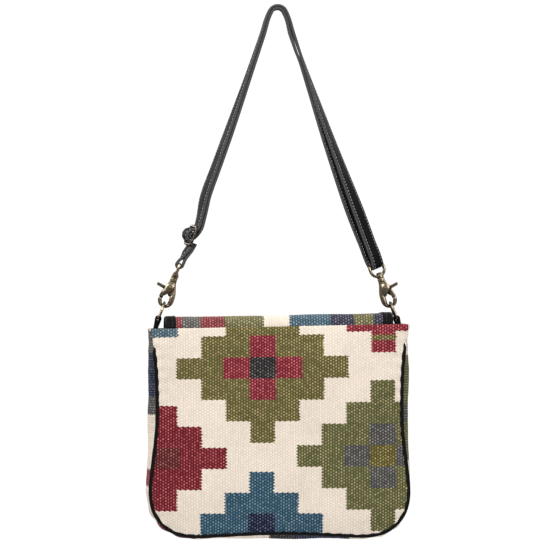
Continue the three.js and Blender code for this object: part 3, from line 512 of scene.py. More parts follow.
def antique_look(name, bright, dark, roughness):
    """Plated metal, rubbed bright where it stands out and tarnished in its recesses."""
    shader = new_look(name)
    solid = shader.solid_place()
    recess = {"Distance": RECESS_DEPTH}
    openness = shader.node("ShaderNodeAmbientOcclusion", {"samples": RECESS_SAMPLES}, recess, "AO")
    cloud = shader.noise(solid, TARNISH_SCALE, TARNISH_DETAIL, TARNISH_ROUGHNESS)
    scratch = shader.streaks(solid, SCRATCH_SCALES)
    uneven = cloud - 0.5
    wear_and_highlight = (openness * TARNISH_EDGE - TARNISH_START + uneven * TARNISH_UNEVEN).clamped()
    shader.set(
        Base_Color=shader.mix(wear_and_highlight, dark, bright),
        Metallic=1.0,
        Roughness=roughness + (1 - wear_and_highlight) * TARNISH_ROUGHER + uneven * UNEVEN_SHINE,
        Normal=shader.bump(cloud + scratch * SCRATCH_DEPTH, METAL_HEIGHT, METAL_STRENGTH),
    )
    return shader.block


# Lines and meshes


class SmoothLine:
    """A smooth curve through points, measured along its own length. Columns past its dimensions go along."""

    SPAN_STEPS = 24
    TANGENT_STEP = 0.5 * MM

    def __init__(self, points, dimensions=3):
        points = np.asarray(points, float)
        chord = np.linalg.norm(np.diff(points[:, :dimensions], axis=0), axis=1)
        knots = np.concatenate(([0.0], np.cumsum(chord)))
        slopes = np.gradient(points, knots, axis=0)
        steps = np.linspace(0, 1, self.SPAN_STEPS, endpoint=False)[None, :, None]
        span = chord[:, None, None]
        begin, end = points[:-1, None], points[1:, None]
        fine = (
            begin * (2 * steps**3 - 3 * steps**2 + 1)
            + end * (3 * steps**2 - 2 * steps**3)
            + span * slopes[:-1, None] * (steps**3 - 2 * steps**2 + steps)
            + span * slopes[1:, None] * (steps**3 - steps**2)
        ).reshape(-1, points.shape[1])
        self.fine = np.vstack((fine, points[-1:]))
        pieces = np.linalg.norm(np.diff(self.fine[:, :dimensions], axis=0), axis=1)
        self.reached = np.concatenate(([0.0], np.cumsum(pieces)))
        self.length = self.reached[-1]

    def inner(self, lengths):
        return side_by_side(*(np.interp(lengths, self.reached, column) for column in self.fine.T))

    def at(self, lengths):
        """Places on the curve, which goes straight on past its ends."""
        lengths = np.asarray(lengths, float)
        inside = np.clip(lengths, 0, self.length)
        return self.inner(inside) + (lengths - inside)[..., None] * self.along(inside)

    def along(self, lengths):
        """Unit direction of the curve."""
        lengths = np.asarray(lengths, float)
        low = np.clip(lengths - self.TANGENT_STEP, 0, self.length)
        high = np.clip(lengths + self.TANGENT_STEP, 0, self.length)
        return unit(self.inner(high) - self.inner(low))


NO_LENGTH = 1e-12  # keeps a way of no length from a division by zero


def unit(vectors):
    return vectors / np.maximum(np.linalg.norm(vectors, axis=-1, keepdims=True), NO_LENGTH)


def side_by_side(*columns):
    """Arrays as the columns of one array, each repeated where the others are longer."""
    return np.stack(np.broadcast_arrays(*columns), axis=-1)


def ease(values, start, end):
    """0 before start, 1 after end, and a smooth step between."""
    done = np.clip((np.asarray(values, float) - start) / (end - start), 0, 1)
    return done * done * (3 - 2 * done)


WAVE_COUNT = 5
WAVE_WAYS = (1.7, 2.4)  # radians for each seed and for each wave, odd ones that keep them out of step
WAVE_STARTS = (3.1, 1.3)
WAVE_PITCHES = (0.7, 0.22)  # of the first wave, and what each next one adds
WAVE_HEIGHTS = 3  # by which their sum is divided


def waves(first, second, seed, pitch):
    """Soft uneven waves over two lengths, mostly between -1 and 1."""
    total = 0.0
    for number in range(WAVE_COUNT):
        way, start = (each[0] * seed + each[1] * number for each in (WAVE_WAYS, WAVE_STARTS))
        reach = math.tau / (pitch * (WAVE_PITCHES[0] + WAVE_PITCHES[1] * number))
        slant = first * math.cos(way) + second * math.sin(way)
        total = total + np.sin(reach * slant + start)
    return total / WAVE_HEIGHTS


def add_piece(name, mesh):
    piece = bpy.data.objects.new(name, mesh)
    bpy.context.scene.collection.objects.link(piece)
    return piece


def build(name, points, faces, flat, look):
    """A mesh piece with its cloth map, smooth shaded and facing outwards."""
    mesh = bpy.data.meshes.new(name)
    mesh.from_pydata(points.tolist(), [], faces)
    mesh.update()
    layer = mesh.uv_layers.new(name=CLOTH_MAP)
    corners = np.empty(len(mesh.loops), dtype=np.int32)
    mesh.loops.foreach_get("vertex_index", corners)
    layer.data.foreach_set("uv", np.asarray(flat, float)[corners].ravel())
    solid = bmesh.new()
    solid.from_mesh(mesh)
    if solid.calc_volume(signed=True) < 0:
        bmesh.ops.reverse_faces(solid, faces=solid.faces)
    solid.to_mesh(mesh)
    solid.free()
    mesh.polygons.foreach_set("use_smooth", [True] * len(mesh.polygons))
    mesh.materials.append(look)
    return add_piece(name, mesh)


def numbered(grid, first=0):
    """Numbers of a grid's points, row by row."""
    rows, columns = grid.shape[:2]
    return first + np.arange(rows * columns).reshape(rows, columns)


def quads(index):
    """Faces between neighbours in a grid of point numbers."""
    return side_by_side(index[:-1, :-1], index[:-1, 1:], index[1:, 1:], index[1:, :-1]).reshape(-1, 4)


def grid_area(grid):
    """Area of the faces between a grid's points."""
    first, second = grid[1:, 1:] - grid[:-1, :-1], grid[1:, :-1] - grid[:-1, 1:]
    return float(np.linalg.norm(np.cross(first, second), axis=-1).sum() / 2)


RIM_STEPS = 3


def cloth_piece(name, grid, flat, thick, look):
    """A closed cloth of even thickness about a grid of middle points, with a rounded rim."""
    index = numbered(grid)
    count = index.size
    rim = np.concatenate((index[0, :], index[1:, -1], index[-1, -2::-1], index[-2:0:-1, 0]))
    inner = np.pad(index[1:-1, 1:-1], 1, mode="edge").ravel()[rim]
    spots = grid.reshape(-1, 3)
    normals = unit(np.cross(np.gradient(grid, axis=0), np.gradient(grid, axis=1))).reshape(-1, 3)
    out = unit(spots[rim] - spots[inner])
    layers = [spots + normals * thick / 2, spots - normals * thick / 2]
    strips = [rim]
    for step in range(RIM_STEPS):
        turn = math.pi * (step + 1) / (RIM_STEPS + 1)
        layers.append(spots[rim] + thick / 2 * (math.cos(turn) * normals[rim] + math.sin(turn) * out))
        strips.append(2 * count + len(rim) * step + np.arange(len(rim)))
    strips.append(rim + count)
    faces = [quads(index), quads(index + count)[:, ::-1]]
    for upper, lower in zip(strips, strips[1:]):
        faces.append(side_by_side(upper, lower, np.roll(lower, -1), np.roll(upper, -1)))
    maps = [flat.reshape(-1, 2)] * 2 + [flat.reshape(-1, 2)[rim]] * RIM_STEPS
    return build(name, np.concatenate(layers), np.concatenate(faces).tolist(), np.concatenate(maps), look)


def lofted(rings):
    """Points and faces of a bar through closed sections, one row of points each, with both ends closed."""
    index = numbered(rings)
    sides = quads(np.concatenate((index, index[:, :1]), axis=1)).tolist()
    return rings.reshape(-1, 3), [*sides, index[0, ::-1].tolist(), index[-1].tolist()]


def stands_for(piece, node):
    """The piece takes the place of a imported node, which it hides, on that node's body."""
    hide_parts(node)
    goes_with(piece, node)


def goes_with(piece, node):
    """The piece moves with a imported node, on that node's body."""
    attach(piece, BODY_OF[node])


def node_box(node):
    return [np.array(corner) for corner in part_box(node)]


def node_points(node):
    return mesh_vectors(frame["nodes"][node].data, "co")


def mesh_vectors(mesh, key):
    """Places or normals of a mesh's points."""
    vectors = np.empty(len(mesh.vertices) * 3)
    mesh.vertices.foreach_get(key, vectors)
    return vectors.reshape(-1, 3)


def take_result(piece):
    """Applies the piece's modifiers to its mesh."""
    graph = bpy.context.evaluated_depsgraph_get()
    result = bpy.data.meshes.new_from_object(piece.evaluated_get(graph))
    result.name = piece.name
    old = piece.data
    piece.modifiers.clear()
    piece.data = result
    bpy.data.meshes.remove(old)


# Stitches

STITCH_SIDES = 6
STITCH_PROFILE = ((-0.5, 0.25), (-0.38, 0.85), (0.0, 1.0), (0.38, 0.85), (0.5, 0.25))  # length and radius


def stitch_piece(name, spots, along, out, leather, look):
    """Separate stitches lying on a surface, each a short swollen thread."""
    side = unit(np.cross(along, out))
    points = []
    for reach, swell in STITCH_PROFILE:
        radius = leather.stitch_radius * swell
        for turn in np.arange(STITCH_SIDES) * math.tau / STITCH_SIDES:
            ring = out * (radius * math.sin(turn)) + side * (radius * math.cos(turn))
            points.append(spots + along * (reach * leather.stitch_length) + ring)
    threads = np.stack(points, axis=1)
    count = threads.shape[1]
    _, pattern = lofted(threads[0].reshape(len(STITCH_PROFILE), STITCH_SIDES, 3))
    firsts = range(0, len(spots) * count, count)
    faces = [[first + corner for corner in face] for first in firsts for face in pattern]
    return build(name, threads.reshape(-1, 3), faces, np.zeros((len(spots) * count, 2)), look)


# Seam of panels and gusset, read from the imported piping

BACK_LOW, BACK_HIGH = node_box("back_piping")
FRONT_LOW, FRONT_HIGH = node_box("front_piping")
GUSSET_LOW, GUSSET_HIGH = node_box("gusset")
PIPING_RADIUS = (BACK_HIGH[1] - BACK_LOW[1]) / 2
BACK_SEAM = (BACK_HIGH[1] + BACK_LOW[1]) / 2
FRONT_SEAM = (FRONT_HIGH[1] + FRONT_LOW[1]) / 2
MOUTH = BACK_HIGH[2]
BASE = GUSSET_LOW[2]
HALF_WIDTH = BACK_HIGH[0]
BAG_MIDDLE = (MOUTH + BASE) / 2
DEPTH_MIDDLE = (BACK_SEAM + FRONT_SEAM) / 2


def seam_corners():
    """The seam in X and Z, from the top of its left side under the base to the top of its right side."""
    points = node_points("back_piping")
    line = points[np.abs(points[:, 1] - BACK_LOW[1]) < TOUCH][:, [0, 2]]
    _, first = np.unique(np.round(line / TOUCH), axis=0, return_index=True)
    line = line[first]
    return line[np.argsort(np.arctan2(line[:, 0], BAG_MIDDLE - line[:, 1]))]


SEAM = SmoothLine(seam_corners(), 2)


def seam_out(lengths):
    """Way out of the bag, square to the seam."""
    along = SEAM.along(lengths)
    return side_by_side(along[..., 1], -along[..., 0])


def corner_length():
    """Length along the seam to the middle of its lower left corner."""
    along = SEAM.along(SEAM.reached)
    left = SEAM.reached < SEAM.length / 2
    return SEAM.reached[left][np.argmin(np.abs(along[left, 0] + along[left, 1]))]


LEFT_CORNER = corner_length()
FAR_SHARE = 0.2  # how little a distance out from the seam counts beside one along it


def gusset_bulge():
    """Lengths along the seam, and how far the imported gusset's middle stands past the seam there."""
    points = node_points("gusset")
    half = GUSSET_HIGH[1] - DEPTH_MIDDLE
    middle = points[np.abs(points[:, 1] - DEPTH_MIDDLE) < half / 2][:, [0, 2]]
    corners = SEAM.fine[:: SEAM.SPAN_STEPS]
    lengths = SEAM.reached[:: SEAM.SPAN_STEPS]
    out = seam_out(lengths)
    away = middle[:, None] - corners[None]
    far = np.sum(away * out[None], axis=-1)
    aside = np.abs(away[..., 0] * out[None, :, 1] - away[..., 1] * out[None, :, 0])
    nearest = np.argmin(aside + FAR_SHARE * np.abs(far), axis=1)
    found = np.unique(nearest)
    return lengths[found], np.array([far[nearest == corner, corner].mean() for corner in found])


def settle(points, cloth):
    """Lets the mouth sink a little and hang lopsided, higher on the right."""
    lift = cloth.lopside * points[..., 0] / HALF_WIDTH - cloth.sag
    moved = points.copy()
    moved[..., 2] += lift * ease(points[..., 2], BAG_MIDDLE, MOUTH)
    return moved


PUCKER_UNEVEN = 0.25  # share of the pitch
PUCKER_DRIFT = 41  # radians per metre


def puckers(along, away, cloth, seed):
    """Puckers along a seam: depth at lengths along it and distances away from it."""
    uneven = along + PUCKER_UNEVEN * cloth.pucker_pitch * np.sin(along * PUCKER_DRIFT + seed)
    swing = np.sin(math.tau * uneven / cloth.pucker_pitch + seed)
    return cloth.pucker * swing * np.exp(-away / cloth.pucker_reach)


# Panels

PANEL_COLUMNS = 150
PANEL_ROWS = 128
PANEL_INSET = 0.8 * MM  # edge of the cloth inside the seam's middle
CROWN_POWER = 4  # the higher, the flatter a panel's middle
PANEL_WAVE = 0.11
PANEL_EDGE = 0.02  # width beside the seams in which the waves die out
MOUTH_CALM = 0.04  # height below the mouth in which the waves get half as deep
BELLY = 1.2 * MM  # how far the cloth stands out further near the base
BELLY_HEIGHT = 0.07
BELLY_START = 0.03

BACK_DIAMONDS = (
    (-18.0, -373.8, 22.6, "olive", "red", "charcoal"),
    (-145.5, -469.0, 22.0, "crimson", "rust", "rust"),
    (107.6, -466.6, 22.4, "moss", "slate", "mustard"),
    (-19.0, -559.0, 21.7, "blue", "navy", "navy"),
    (108.5, -283.5, 21.7, "red", "olive", "navy"),
    (-145.5, -285.0, 21.7, "blue", "navy", "navy"),
)
BACK_STRIPES = (
    (95.8, 121.8, -347.0, -341.5, "olive"),
    (-140.0, -106.0, -339.8, -320.0, "sky"),
)
FRONT_DIAMONDS = (
    (0.0, -455.0, 21.7, "blue", "navy", "mustard"),
    (-128.0, -365.0, 21.7, "moss", "slate", "mustard"),
    (128.0, -365.0, 21.7, "red", "rust", "charcoal"),
    (-128.0, -545.0, 21.7, "olive", "red", "charcoal"),
    (128.0, -545.0, 21.7, "olive", "navy", "mustard"),
)


def in_metres(shapes):
    """Diamonds or stripes with their places and heights in metres."""
    return [tuple(part * MM if isinstance(part, float) else part for part in shape) for shape in shapes]


def panel_flat():
    """A panel's grid in X and Z, between its two sides, the base and the mouth."""
    sides = np.linspace(LEFT_CORNER, 0, PANEL_ROWS)
    base = np.linspace(LEFT_CORNER, SEAM.length - LEFT_CORNER, PANEL_COLUMNS)
    left = SEAM.at(sides) - PANEL_INSET * seam_out(sides)
    right = left * (-1, 1)
    bottom = SEAM.at(base) - PANEL_INSET * seam_out(base)
    across = np.linspace(0, 1, PANEL_COLUMNS)[None, :, None]
    up = np.linspace(0, 1, PANEL_ROWS)[:, None, None]
    top = left[-1] + (right[-1] - left[-1]) * across[0]
    upright = (1 - up) * bottom[None] + up * top[None]
    level = (1 - across) * left[:, None] + across * right[:, None]
    low_corners = (1 - across) * left[0] + across * right[0]
    high_corners = (1 - across) * left[-1] + across * right[-1]
    return upright + level - (1 - up) * low_corners - up * high_corners


def panel_grid(facing, seam_depth, cloth):
    """Middle of a panel's cloth, crowned, puckered along its seams and softly waved, and its flat grid."""
    flat = panel_flat()
    x, z = flat[..., 0], flat[..., 1]
    aside = np.abs(np.linspace(-1, 1, PANEL_COLUMNS))[None, :]
    rise = np.linspace(-1, 1, PANEL_ROWS)[:, None]
    side_gap = (1 - aside) * HALF_WIDTH
    base_gap = (rise + 1) / 2 * (MOUTH - BASE)
    crown = cloth.crown * (1 - aside**CROWN_POWER) * (1 - rise**CROWN_POWER)
    belly = BELLY * np.exp(-(((z - BASE) / BELLY_HEIGHT) ** 2)) * (1 - aside**2)
    belly *= ease(z, BASE, BASE + BELLY_START)
    ruffle = puckers(z, side_gap, cloth, seed=1 + facing) + puckers(x, base_gap, cloth, seed=2 + facing)
    slack = cloth.slack * waves(x, z, seed=4 + facing, pitch=PANEL_WAVE)
    slack *= np.minimum(1, np.minimum(side_gap, base_gap) / PANEL_EDGE)
    slack *= 1 - 0.5 * ease(z, MOUTH - MOUTH_CALM, MOUTH)
    y = seam_depth + facing * (crown + belly + ruffle + slack)
    return side_by_side(x, y, z), flat


class BAG_OT_panels(bpy.types.Operator):
    """Back and front panel of woven cloth"""

    bl_idname = "bag.panels"
    bl_label = "Panels"

    def execute(self, context):
        cloth = context.scene.bag_cloth
        back = kilim_look("kilim back", cloth, in_metres(BACK_DIAMONDS), stripes=in_metres(BACK_STRIPES))
        front = kilim_look("kilim front", cloth, in_metres(FRONT_DIAMONDS))
        for node, facing, depth, look in (
            ("back_panel", -1, BACK_SEAM, back),
            ("front_panel", 1, FRONT_SEAM, front),
        ):
            grid, flat = panel_grid(facing, depth, cloth)
            piece = cloth_piece(node + "_cloth", settle(grid, cloth), flat, cloth.thick, look)
            stands_for(piece, node)
        return {"FINISHED"}


# Gusset and piping

GUSSET_STATIONS = 330
GUSSET_COLUMNS = 34
GUSSET_FLAT = 0.4  # share of the depth that stays flat across the bulge
GUSSET_EDGE = 0.008  # width beside the seams in which waves and creases die out
GUSSET_SLACK = 0.8  # share of the panels' slack
GUSSET_WAVE = 0.06
CORNER_CREASE = 0.9 * MM
CREASE_REACH = 0.03
CREASE_PITCH = 0.019
GUSSET_BARS = (  # first and last length along the gusset
    (0.0, 24.0, "slate"),
    (24.0, 72.0, "navy"),
    (72.0, 92.0, "slate"),
    (150.0, 168.0, "red"),
    (205.0, 228.0, "red"),
    (228.0, 248.0, "rust"),
    (325.0, 350.0, "charcoal"),
    (350.0, 410.0, "navy"),
    (530.0, 572.0, "moss"),
    (572.0, 588.0, "slate"),
    (588.0, 640.0, "moss"),
)
PAST_CLOTH = 1.0  # a length that lies past every cloth


def gusset_grid(cloth, half):
    """Middle of the gusset's cloth, bulged, puckered and creased at its lower corners, and its flat grid."""
    lengths = np.linspace(0, SEAM.length, GUSSET_STATIONS)
    across = np.linspace(-1, 1, GUSSET_COLUMNS)
    line, out = SEAM.at(lengths), seam_out(lengths)
    slope = np.clip((np.abs(across) - GUSSET_FLAT) / (1 - GUSSET_FLAT), 0, 1)
    profile = (1 + np.cos(math.pi * slope)) / 2
    gap = (1 - np.abs(across)) * half
    along, depth = np.meshgrid(lengths, across * half, indexing="ij")
    ruffle = puckers(along, np.broadcast_to(gap, along.shape), cloth, seed=3)
    slack = GUSSET_SLACK * cloth.slack * waves(along, depth, seed=7, pitch=GUSSET_WAVE)
    turn = np.minimum(np.abs(along - LEFT_CORNER), np.abs(along - SEAM.length + LEFT_CORNER))
    fold = np.sin(along * math.tau / CREASE_PITCH)
    crease = CORNER_CREASE * np.exp(-((turn / CREASE_REACH) ** 2)) * fold
    bulge = np.interp(lengths, *gusset_bulge())[:, None] * profile
    offset = bulge + ruffle + (slack + crease) * np.minimum(1, gap / GUSSET_EDGE)
    x, z = (line[:, [axis]] + offset * out[:, [axis]] for axis in (0, 1))
    return side_by_side(x, DEPTH_MIDDLE + depth, z), side_by_side(along, depth)


class BAG_OT_gusset(bpy.types.Operator):
    """Strip of cloth down one side, under the base and up the other side"""

    bl_idname = "bag.gusset"
    bl_label = "Gusset"

    def execute(self, context):
        cloth = context.scene.bag_cloth
        half = (FRONT_SEAM - BACK_SEAM) / 2
        grid, flat = gusset_grid(cloth, half)
        bars = [(first * MM, last * MM, -PAST_CLOTH, PAST_CLOTH, tone) for first, last, tone in GUSSET_BARS]
        look = kilim_look("kilim gusset", cloth, (), bars)
        piece = cloth_piece("gusset_cloth", settle(grid, cloth), flat, cloth.thick, look)
        stands_for(piece, "gusset")
        return {"FINISHED"}


PIPING_SIDES = 12
PIPING_STATIONS = 300
PIPING_TUCK = 28 * MM  # length at each end over which the cord sinks into the seam
PIPING_SINK = 3.2 * MM
PIPING_THINS = 0.5  # share of its radius that it loses there
PIPING_UNEVEN = 0.04
PIPING_RIPPLE = 300  # radians per metre


class BAG_OT_piping(bpy.types.Operator):
    """Leather cords in both seams"""

    bl_idname = "bag.piping"
    bl_label = "Piping"

    def execute(self, context):
        cloth, leather = context.scene.bag_cloth, context.scene.bag_leather
        look = leather_look("piping leather", leather)
        lengths = np.linspace(0, SEAM.length, PIPING_STATIONS)[:, None]
        line, out = SEAM.at(lengths[:, 0]), seam_out(lengths[:, 0])
        sunk = 1 - ease(np.minimum(lengths, SEAM.length - lengths), 0, PIPING_TUCK)
        turns = np.arange(PIPING_SIDES) * math.tau / PIPING_SIDES
        flat = side_by_side(lengths, turns * PIPING_RADIUS).reshape(-1, 2)
        for node, facing, depth in (("back_piping", -1, BACK_SEAM), ("front_piping", 1, FRONT_SEAM)):
            ripple = 1 + PIPING_UNEVEN * np.sin(lengths * PIPING_RIPPLE + facing)
            radius = PIPING_RADIUS * ripple * (1 - PIPING_THINS * sunk)
            swing = radius * np.cos(turns) - PIPING_SINK * sunk
            x, z = (line[:, [axis]] + out[:, [axis]] * swing for axis in (0, 1))
            y = depth + radius * np.sin(turns) - facing * PIPING_SINK * sunk
            points, faces = lofted(settle(side_by_side(x, y, z), cloth))
            stands_for(build(node + "_cord", points, faces, flat, look), node)
        return {"FINISHED"}


# Lining

LINING_INSET = 5.8 * MM
LINING_COLUMNS = 60
LINING_ROWS = 50
LINING_DEPTH_STEPS = 14
LINING_LOOSE = 0.004  # share by which the sides hang inwards
SIDE_WAVE = 0.05
WALL_LOOSE = 0.9 * MM
WALL_WAVE = 0.06
WALL_EDGE = 12  # how fast the waves of a wall grow from its sides
WALL_POWER = 6  # the higher, the nearer to the base they die out


def lining_strip(rim, depths):
    """Sides and base of the pouch."""
    strip = side_by_side(rim[:, :1], depths, rim[:, 1:])
    loose = LINING_LOOSE * (1 + waves(strip[..., 1], strip[..., 2], seed=3, pitch=SIDE_WAVE))
    strip[..., 0] *= 1 - loose
    return strip


def lining_wall(rim, depth, inward):
    """Back or front of the pouch, ruled from side to side."""
    half = len(rim) // 2
    rows = np.linspace(0, half - 1, LINING_ROWS).round().astype(int)
    left, right = rim[rows][:, None], rim[::-1][rows][:, None]
    across = np.linspace(0, 1, LINING_COLUMNS)[None, :]
    down = np.linspace(0, 1, LINING_ROWS)[:, None]
    x, z = (left[..., axis] * (1 - across) + right[..., axis] * across for axis in (0, 1))
    inside = np.minimum(1, WALL_EDGE * across * (1 - across)) * (1 - down**WALL_POWER)
    swing = waves(x, z, seed=5 + inward, pitch=WALL_WAVE)
    return side_by_side(x, depth + inward * WALL_LOOSE * inside * (1 + swing), z)


class BAG_OT_lining(bpy.types.Operator):
    """Plain cotton pouch inside the bag"""

    bl_idname = "bag.lining"
    bl_label = "Lining"

    def execute(self, context):
        cloth = context.scene.bag_cloth
        low, high = node_box("lining")
        half = cloth.lining_thick / 2
        below = SEAM.reached[SEAM.fine[:, 1] <= high[2]]
        lengths = np.linspace(below[0], below[-1], 2 * LINING_ROWS + LINING_COLUMNS)
        rim = SEAM.at(lengths) - LINING_INSET * seam_out(lengths)
        rim[:, 1] = np.maximum(rim[:, 1], low[2] + half)
        depths = np.linspace(low[1] + half, high[1] - half, LINING_DEPTH_STEPS)
        strip = lining_strip(rim, depths)
        walls = [lining_wall(rim, depths[0], 1), lining_wall(rim, depths[-1], -1)]
        points, faces = [], []
        for grid in (strip, *walls):
            faces += quads(numbered(grid, sum(map(len, points)))).tolist()
            points.append(grid.reshape(-1, 3))
        maps = [side_by_side(lengths[:, None], depths), *(wall[..., [0, 2]] for wall in walls)]
        flat = np.concatenate([part.reshape(-1, 2) for part in maps])
        piece = build("lining_pouch", np.concatenate(points), faces, flat, lining_look(cloth))
        self.thicken(piece, cloth.lining_thick)
        stands_for(piece, "lining")
        return {"FINISHED"}

    def thicken(self, piece, thick):
        """Gives a single layer of cloth its thickness."""
        layer = piece.modifiers.new("thickness", "SOLIDIFY")
        layer.thickness = thick
        layer.offset = 0
        take_result(piece)


# Flap

FLAP_LOW, FLAP_HIGH = node_box("flap")
FLAP_HALF = FLAP_HIGH[0]
FLAP_BACK_RADIUS = 11 * MM
FLAP_FRONT_RADIUS = 16 * MM
FLAP_CORNER = 34 * MM
FLAP_ROOT = 14 * MM  # sewn in below the panel's top edge
FLAP_ROWS = 130
FLAP_COLUMNS = 110
FLAP_EDGE_GAP = 0.3 * MM
FLAP_LINING_GAP = 0.2 * MM
BEND_STEPS = 14
TOP_STARTS = (0.01, 0.03)  # lengths along the flap
TOP_ENDS = (0.075, 0.11)
TOP_WAVE = 0.5 * MM
TOP_WAVE_PITCH = 0.1
FALL_START = 0.14
FALL_STAND = 0.6 * MM  # how far the flap's lower edge stands off, more at its corners and in its waves
CORNER_STAND = 1.1 * MM
FALL_WAVE = 0.8 * MM
FALL_WAVE_PITCH = 0.085
FALL_WAVE_START = 0.8

FLAP_TOP_BARS = (  # first and last place across the flap
    (-117.0, -102.0, "crimson"),
    (-102.0, -82.0, "slate"),
    (-82.0, -57.0, "crimson"),
    (-57.0, -16.0, "moss"),
    (10.5, 53.5, "blue"),
    (53.5, 77.7, "navy"),
    (77.7, 98.7, "moss"),
    (98.7, 117.0, "navy"),
)
FLAP_BAND_END = 62.0
# how far the flap's dyes are paled towards cream, a painted sheen
FLAP_SHEEN = 0.03
FLAP_DIAMONDS = (
    (0.0, 190.0, 21.7, "olive", "red", "charcoal"),
    (-128.0, 105.0, 21.7, "red", "rust", "charcoal"),
    (128.0, 105.0, 21.7, "blue", "navy", "mustard"),
    (-128.0, 275.0, 21.7, "blue", "navy", "navy"),
    (128.0, 275.0, 21.7, "moss", "slate", "mustard"),
)
BINDING_SECTION = (  # outwards from the flap's edge, and off the middle of its cloth
    (-9.4, 1.35), (-9.2, 1.95), (-8.3, 2.25), (-7.2, 2.1), (-6.6, 1.85), (-3.0, 2.0),
    (-0.6, 1.95), (0.8, 1.5), (1.6, 0.3), (1.6, -1.8), (0.8, -3.3), (-0.6, -3.95),
    (-9.0, -3.9), (-9.4, -3.3), (-9.4, -2.75), (0.3, -2.75), (0.3, 1.2), (-9.2, 1.2),
)
BINDING_STITCH_REACH = -5.4 * MM
BINDING_STITCH_OFF = 1.9 * MM
STITCH_AHEAD = 0.2 * MM  # from a stitch to the place that gives its direction
EDGE_STEP = 3.0 * MM
EDGE_CORNER_STEPS = 20
EDGE_LOWER_STEPS = 58


def bend(y, z, radius, start, end):
    """A quarter of a circle about a place in Y and Z."""
    turns = np.linspace(start, end, BEND_STEPS)
    return side_by_side(y + radius * np.cos(turns), z + radius * np.sin(turns))


def flap_line(thick):
    """Middle of the flap's cloth in Y and Z, from its root over the mouth to its lower edge."""
    back, front = FLAP_LOW[1] + thick / 2, FLAP_HIGH[1] - thick / 2
    crest, root = FLAP_HIGH[2] - thick / 2, MOUTH - FLAP_ROOT
    back_bend, front_bend = crest - FLAP_BACK_RADIUS, crest - FLAP_FRONT_RADIUS
    points = [
        [(back, root), (back, (root + back_bend) / 2)],
        bend(back + FLAP_BACK_RADIUS, back_bend, FLAP_BACK_RADIUS, math.pi, math.pi / 2),
        [((back + front) / 2, crest)],
        bend(front - FLAP_FRONT_RADIUS, front_bend, FLAP_FRONT_RADIUS, math.pi / 2, 0),
        [(front, z) for z in np.linspace(front_bend, FLAP_LOW[2], BEND_STEPS)[1:]],
    ]
    return SmoothLine(np.concatenate(points), 2)


def flap_half(lengths, line):
    """Half the flap's width, less in its round corners."""
    past = np.clip(lengths - (line.length - FLAP_CORNER), 0, FLAP_CORNER)
    return FLAP_HALF - FLAP_CORNER + np.sqrt(np.maximum(0, FLAP_CORNER**2 - past**2))


def flap_point(lengths, x, off, line, cloth):
    """Points of the flap: length along it, place across it and height off the cloth's middle."""
    spot, along = line.at(lengths), line.along(np.minimum(lengths, line.length))
    top = ease(lengths, *TOP_STARTS) * (1 - ease(lengths, *TOP_ENDS))
    wave = TOP_WAVE * waves(x, lengths, seed=2, pitch=TOP_WAVE_PITCH) * top
    swing = np.sin(x * math.tau / FALL_WAVE_PITCH + FALL_WAVE_START)
    stand = FALL_STAND + CORNER_STAND * (x / FLAP_HALF) ** 2 + FALL_WAVE * swing**2
    height = off + wave + ease(lengths, FALL_START, line.length) * stand
    y = spot[..., 0] - along[..., 1] * height
    z = spot[..., 1] + along[..., 0] * height
    return settle(side_by_side(x, y, z), cloth)


def flap_edge(line):
    """Edge of the flap from its left root round to its right root: length, place across and way out."""
    straight = np.arange(FLAP_ROOT, line.length - FLAP_CORNER, EDGE_STEP)
    turns = np.linspace(0, math.pi / 2, EDGE_CORNER_STEPS)
    rise, run = np.sin(turns), np.cos(turns)
    side = side_by_side(straight, FLAP_HALF, 0.0, 1.0)
    ends = (line.length - FLAP_CORNER, FLAP_HALF - FLAP_CORNER)
    corner = side_by_side(ends[0] + FLAP_CORNER * rise, ends[1] + FLAP_CORNER * run, rise, run)
    right = np.concatenate((side, corner))
    left = right * (1, -1, 1, -1)
    across = np.linspace(left[-1, 1], right[-1, 1], EDGE_LOWER_STEPS + 2)[1:-1]
    lower = side_by_side(line.length, across, 1.0, 0.0)
    return np.concatenate((left, lower, right[::-1]))


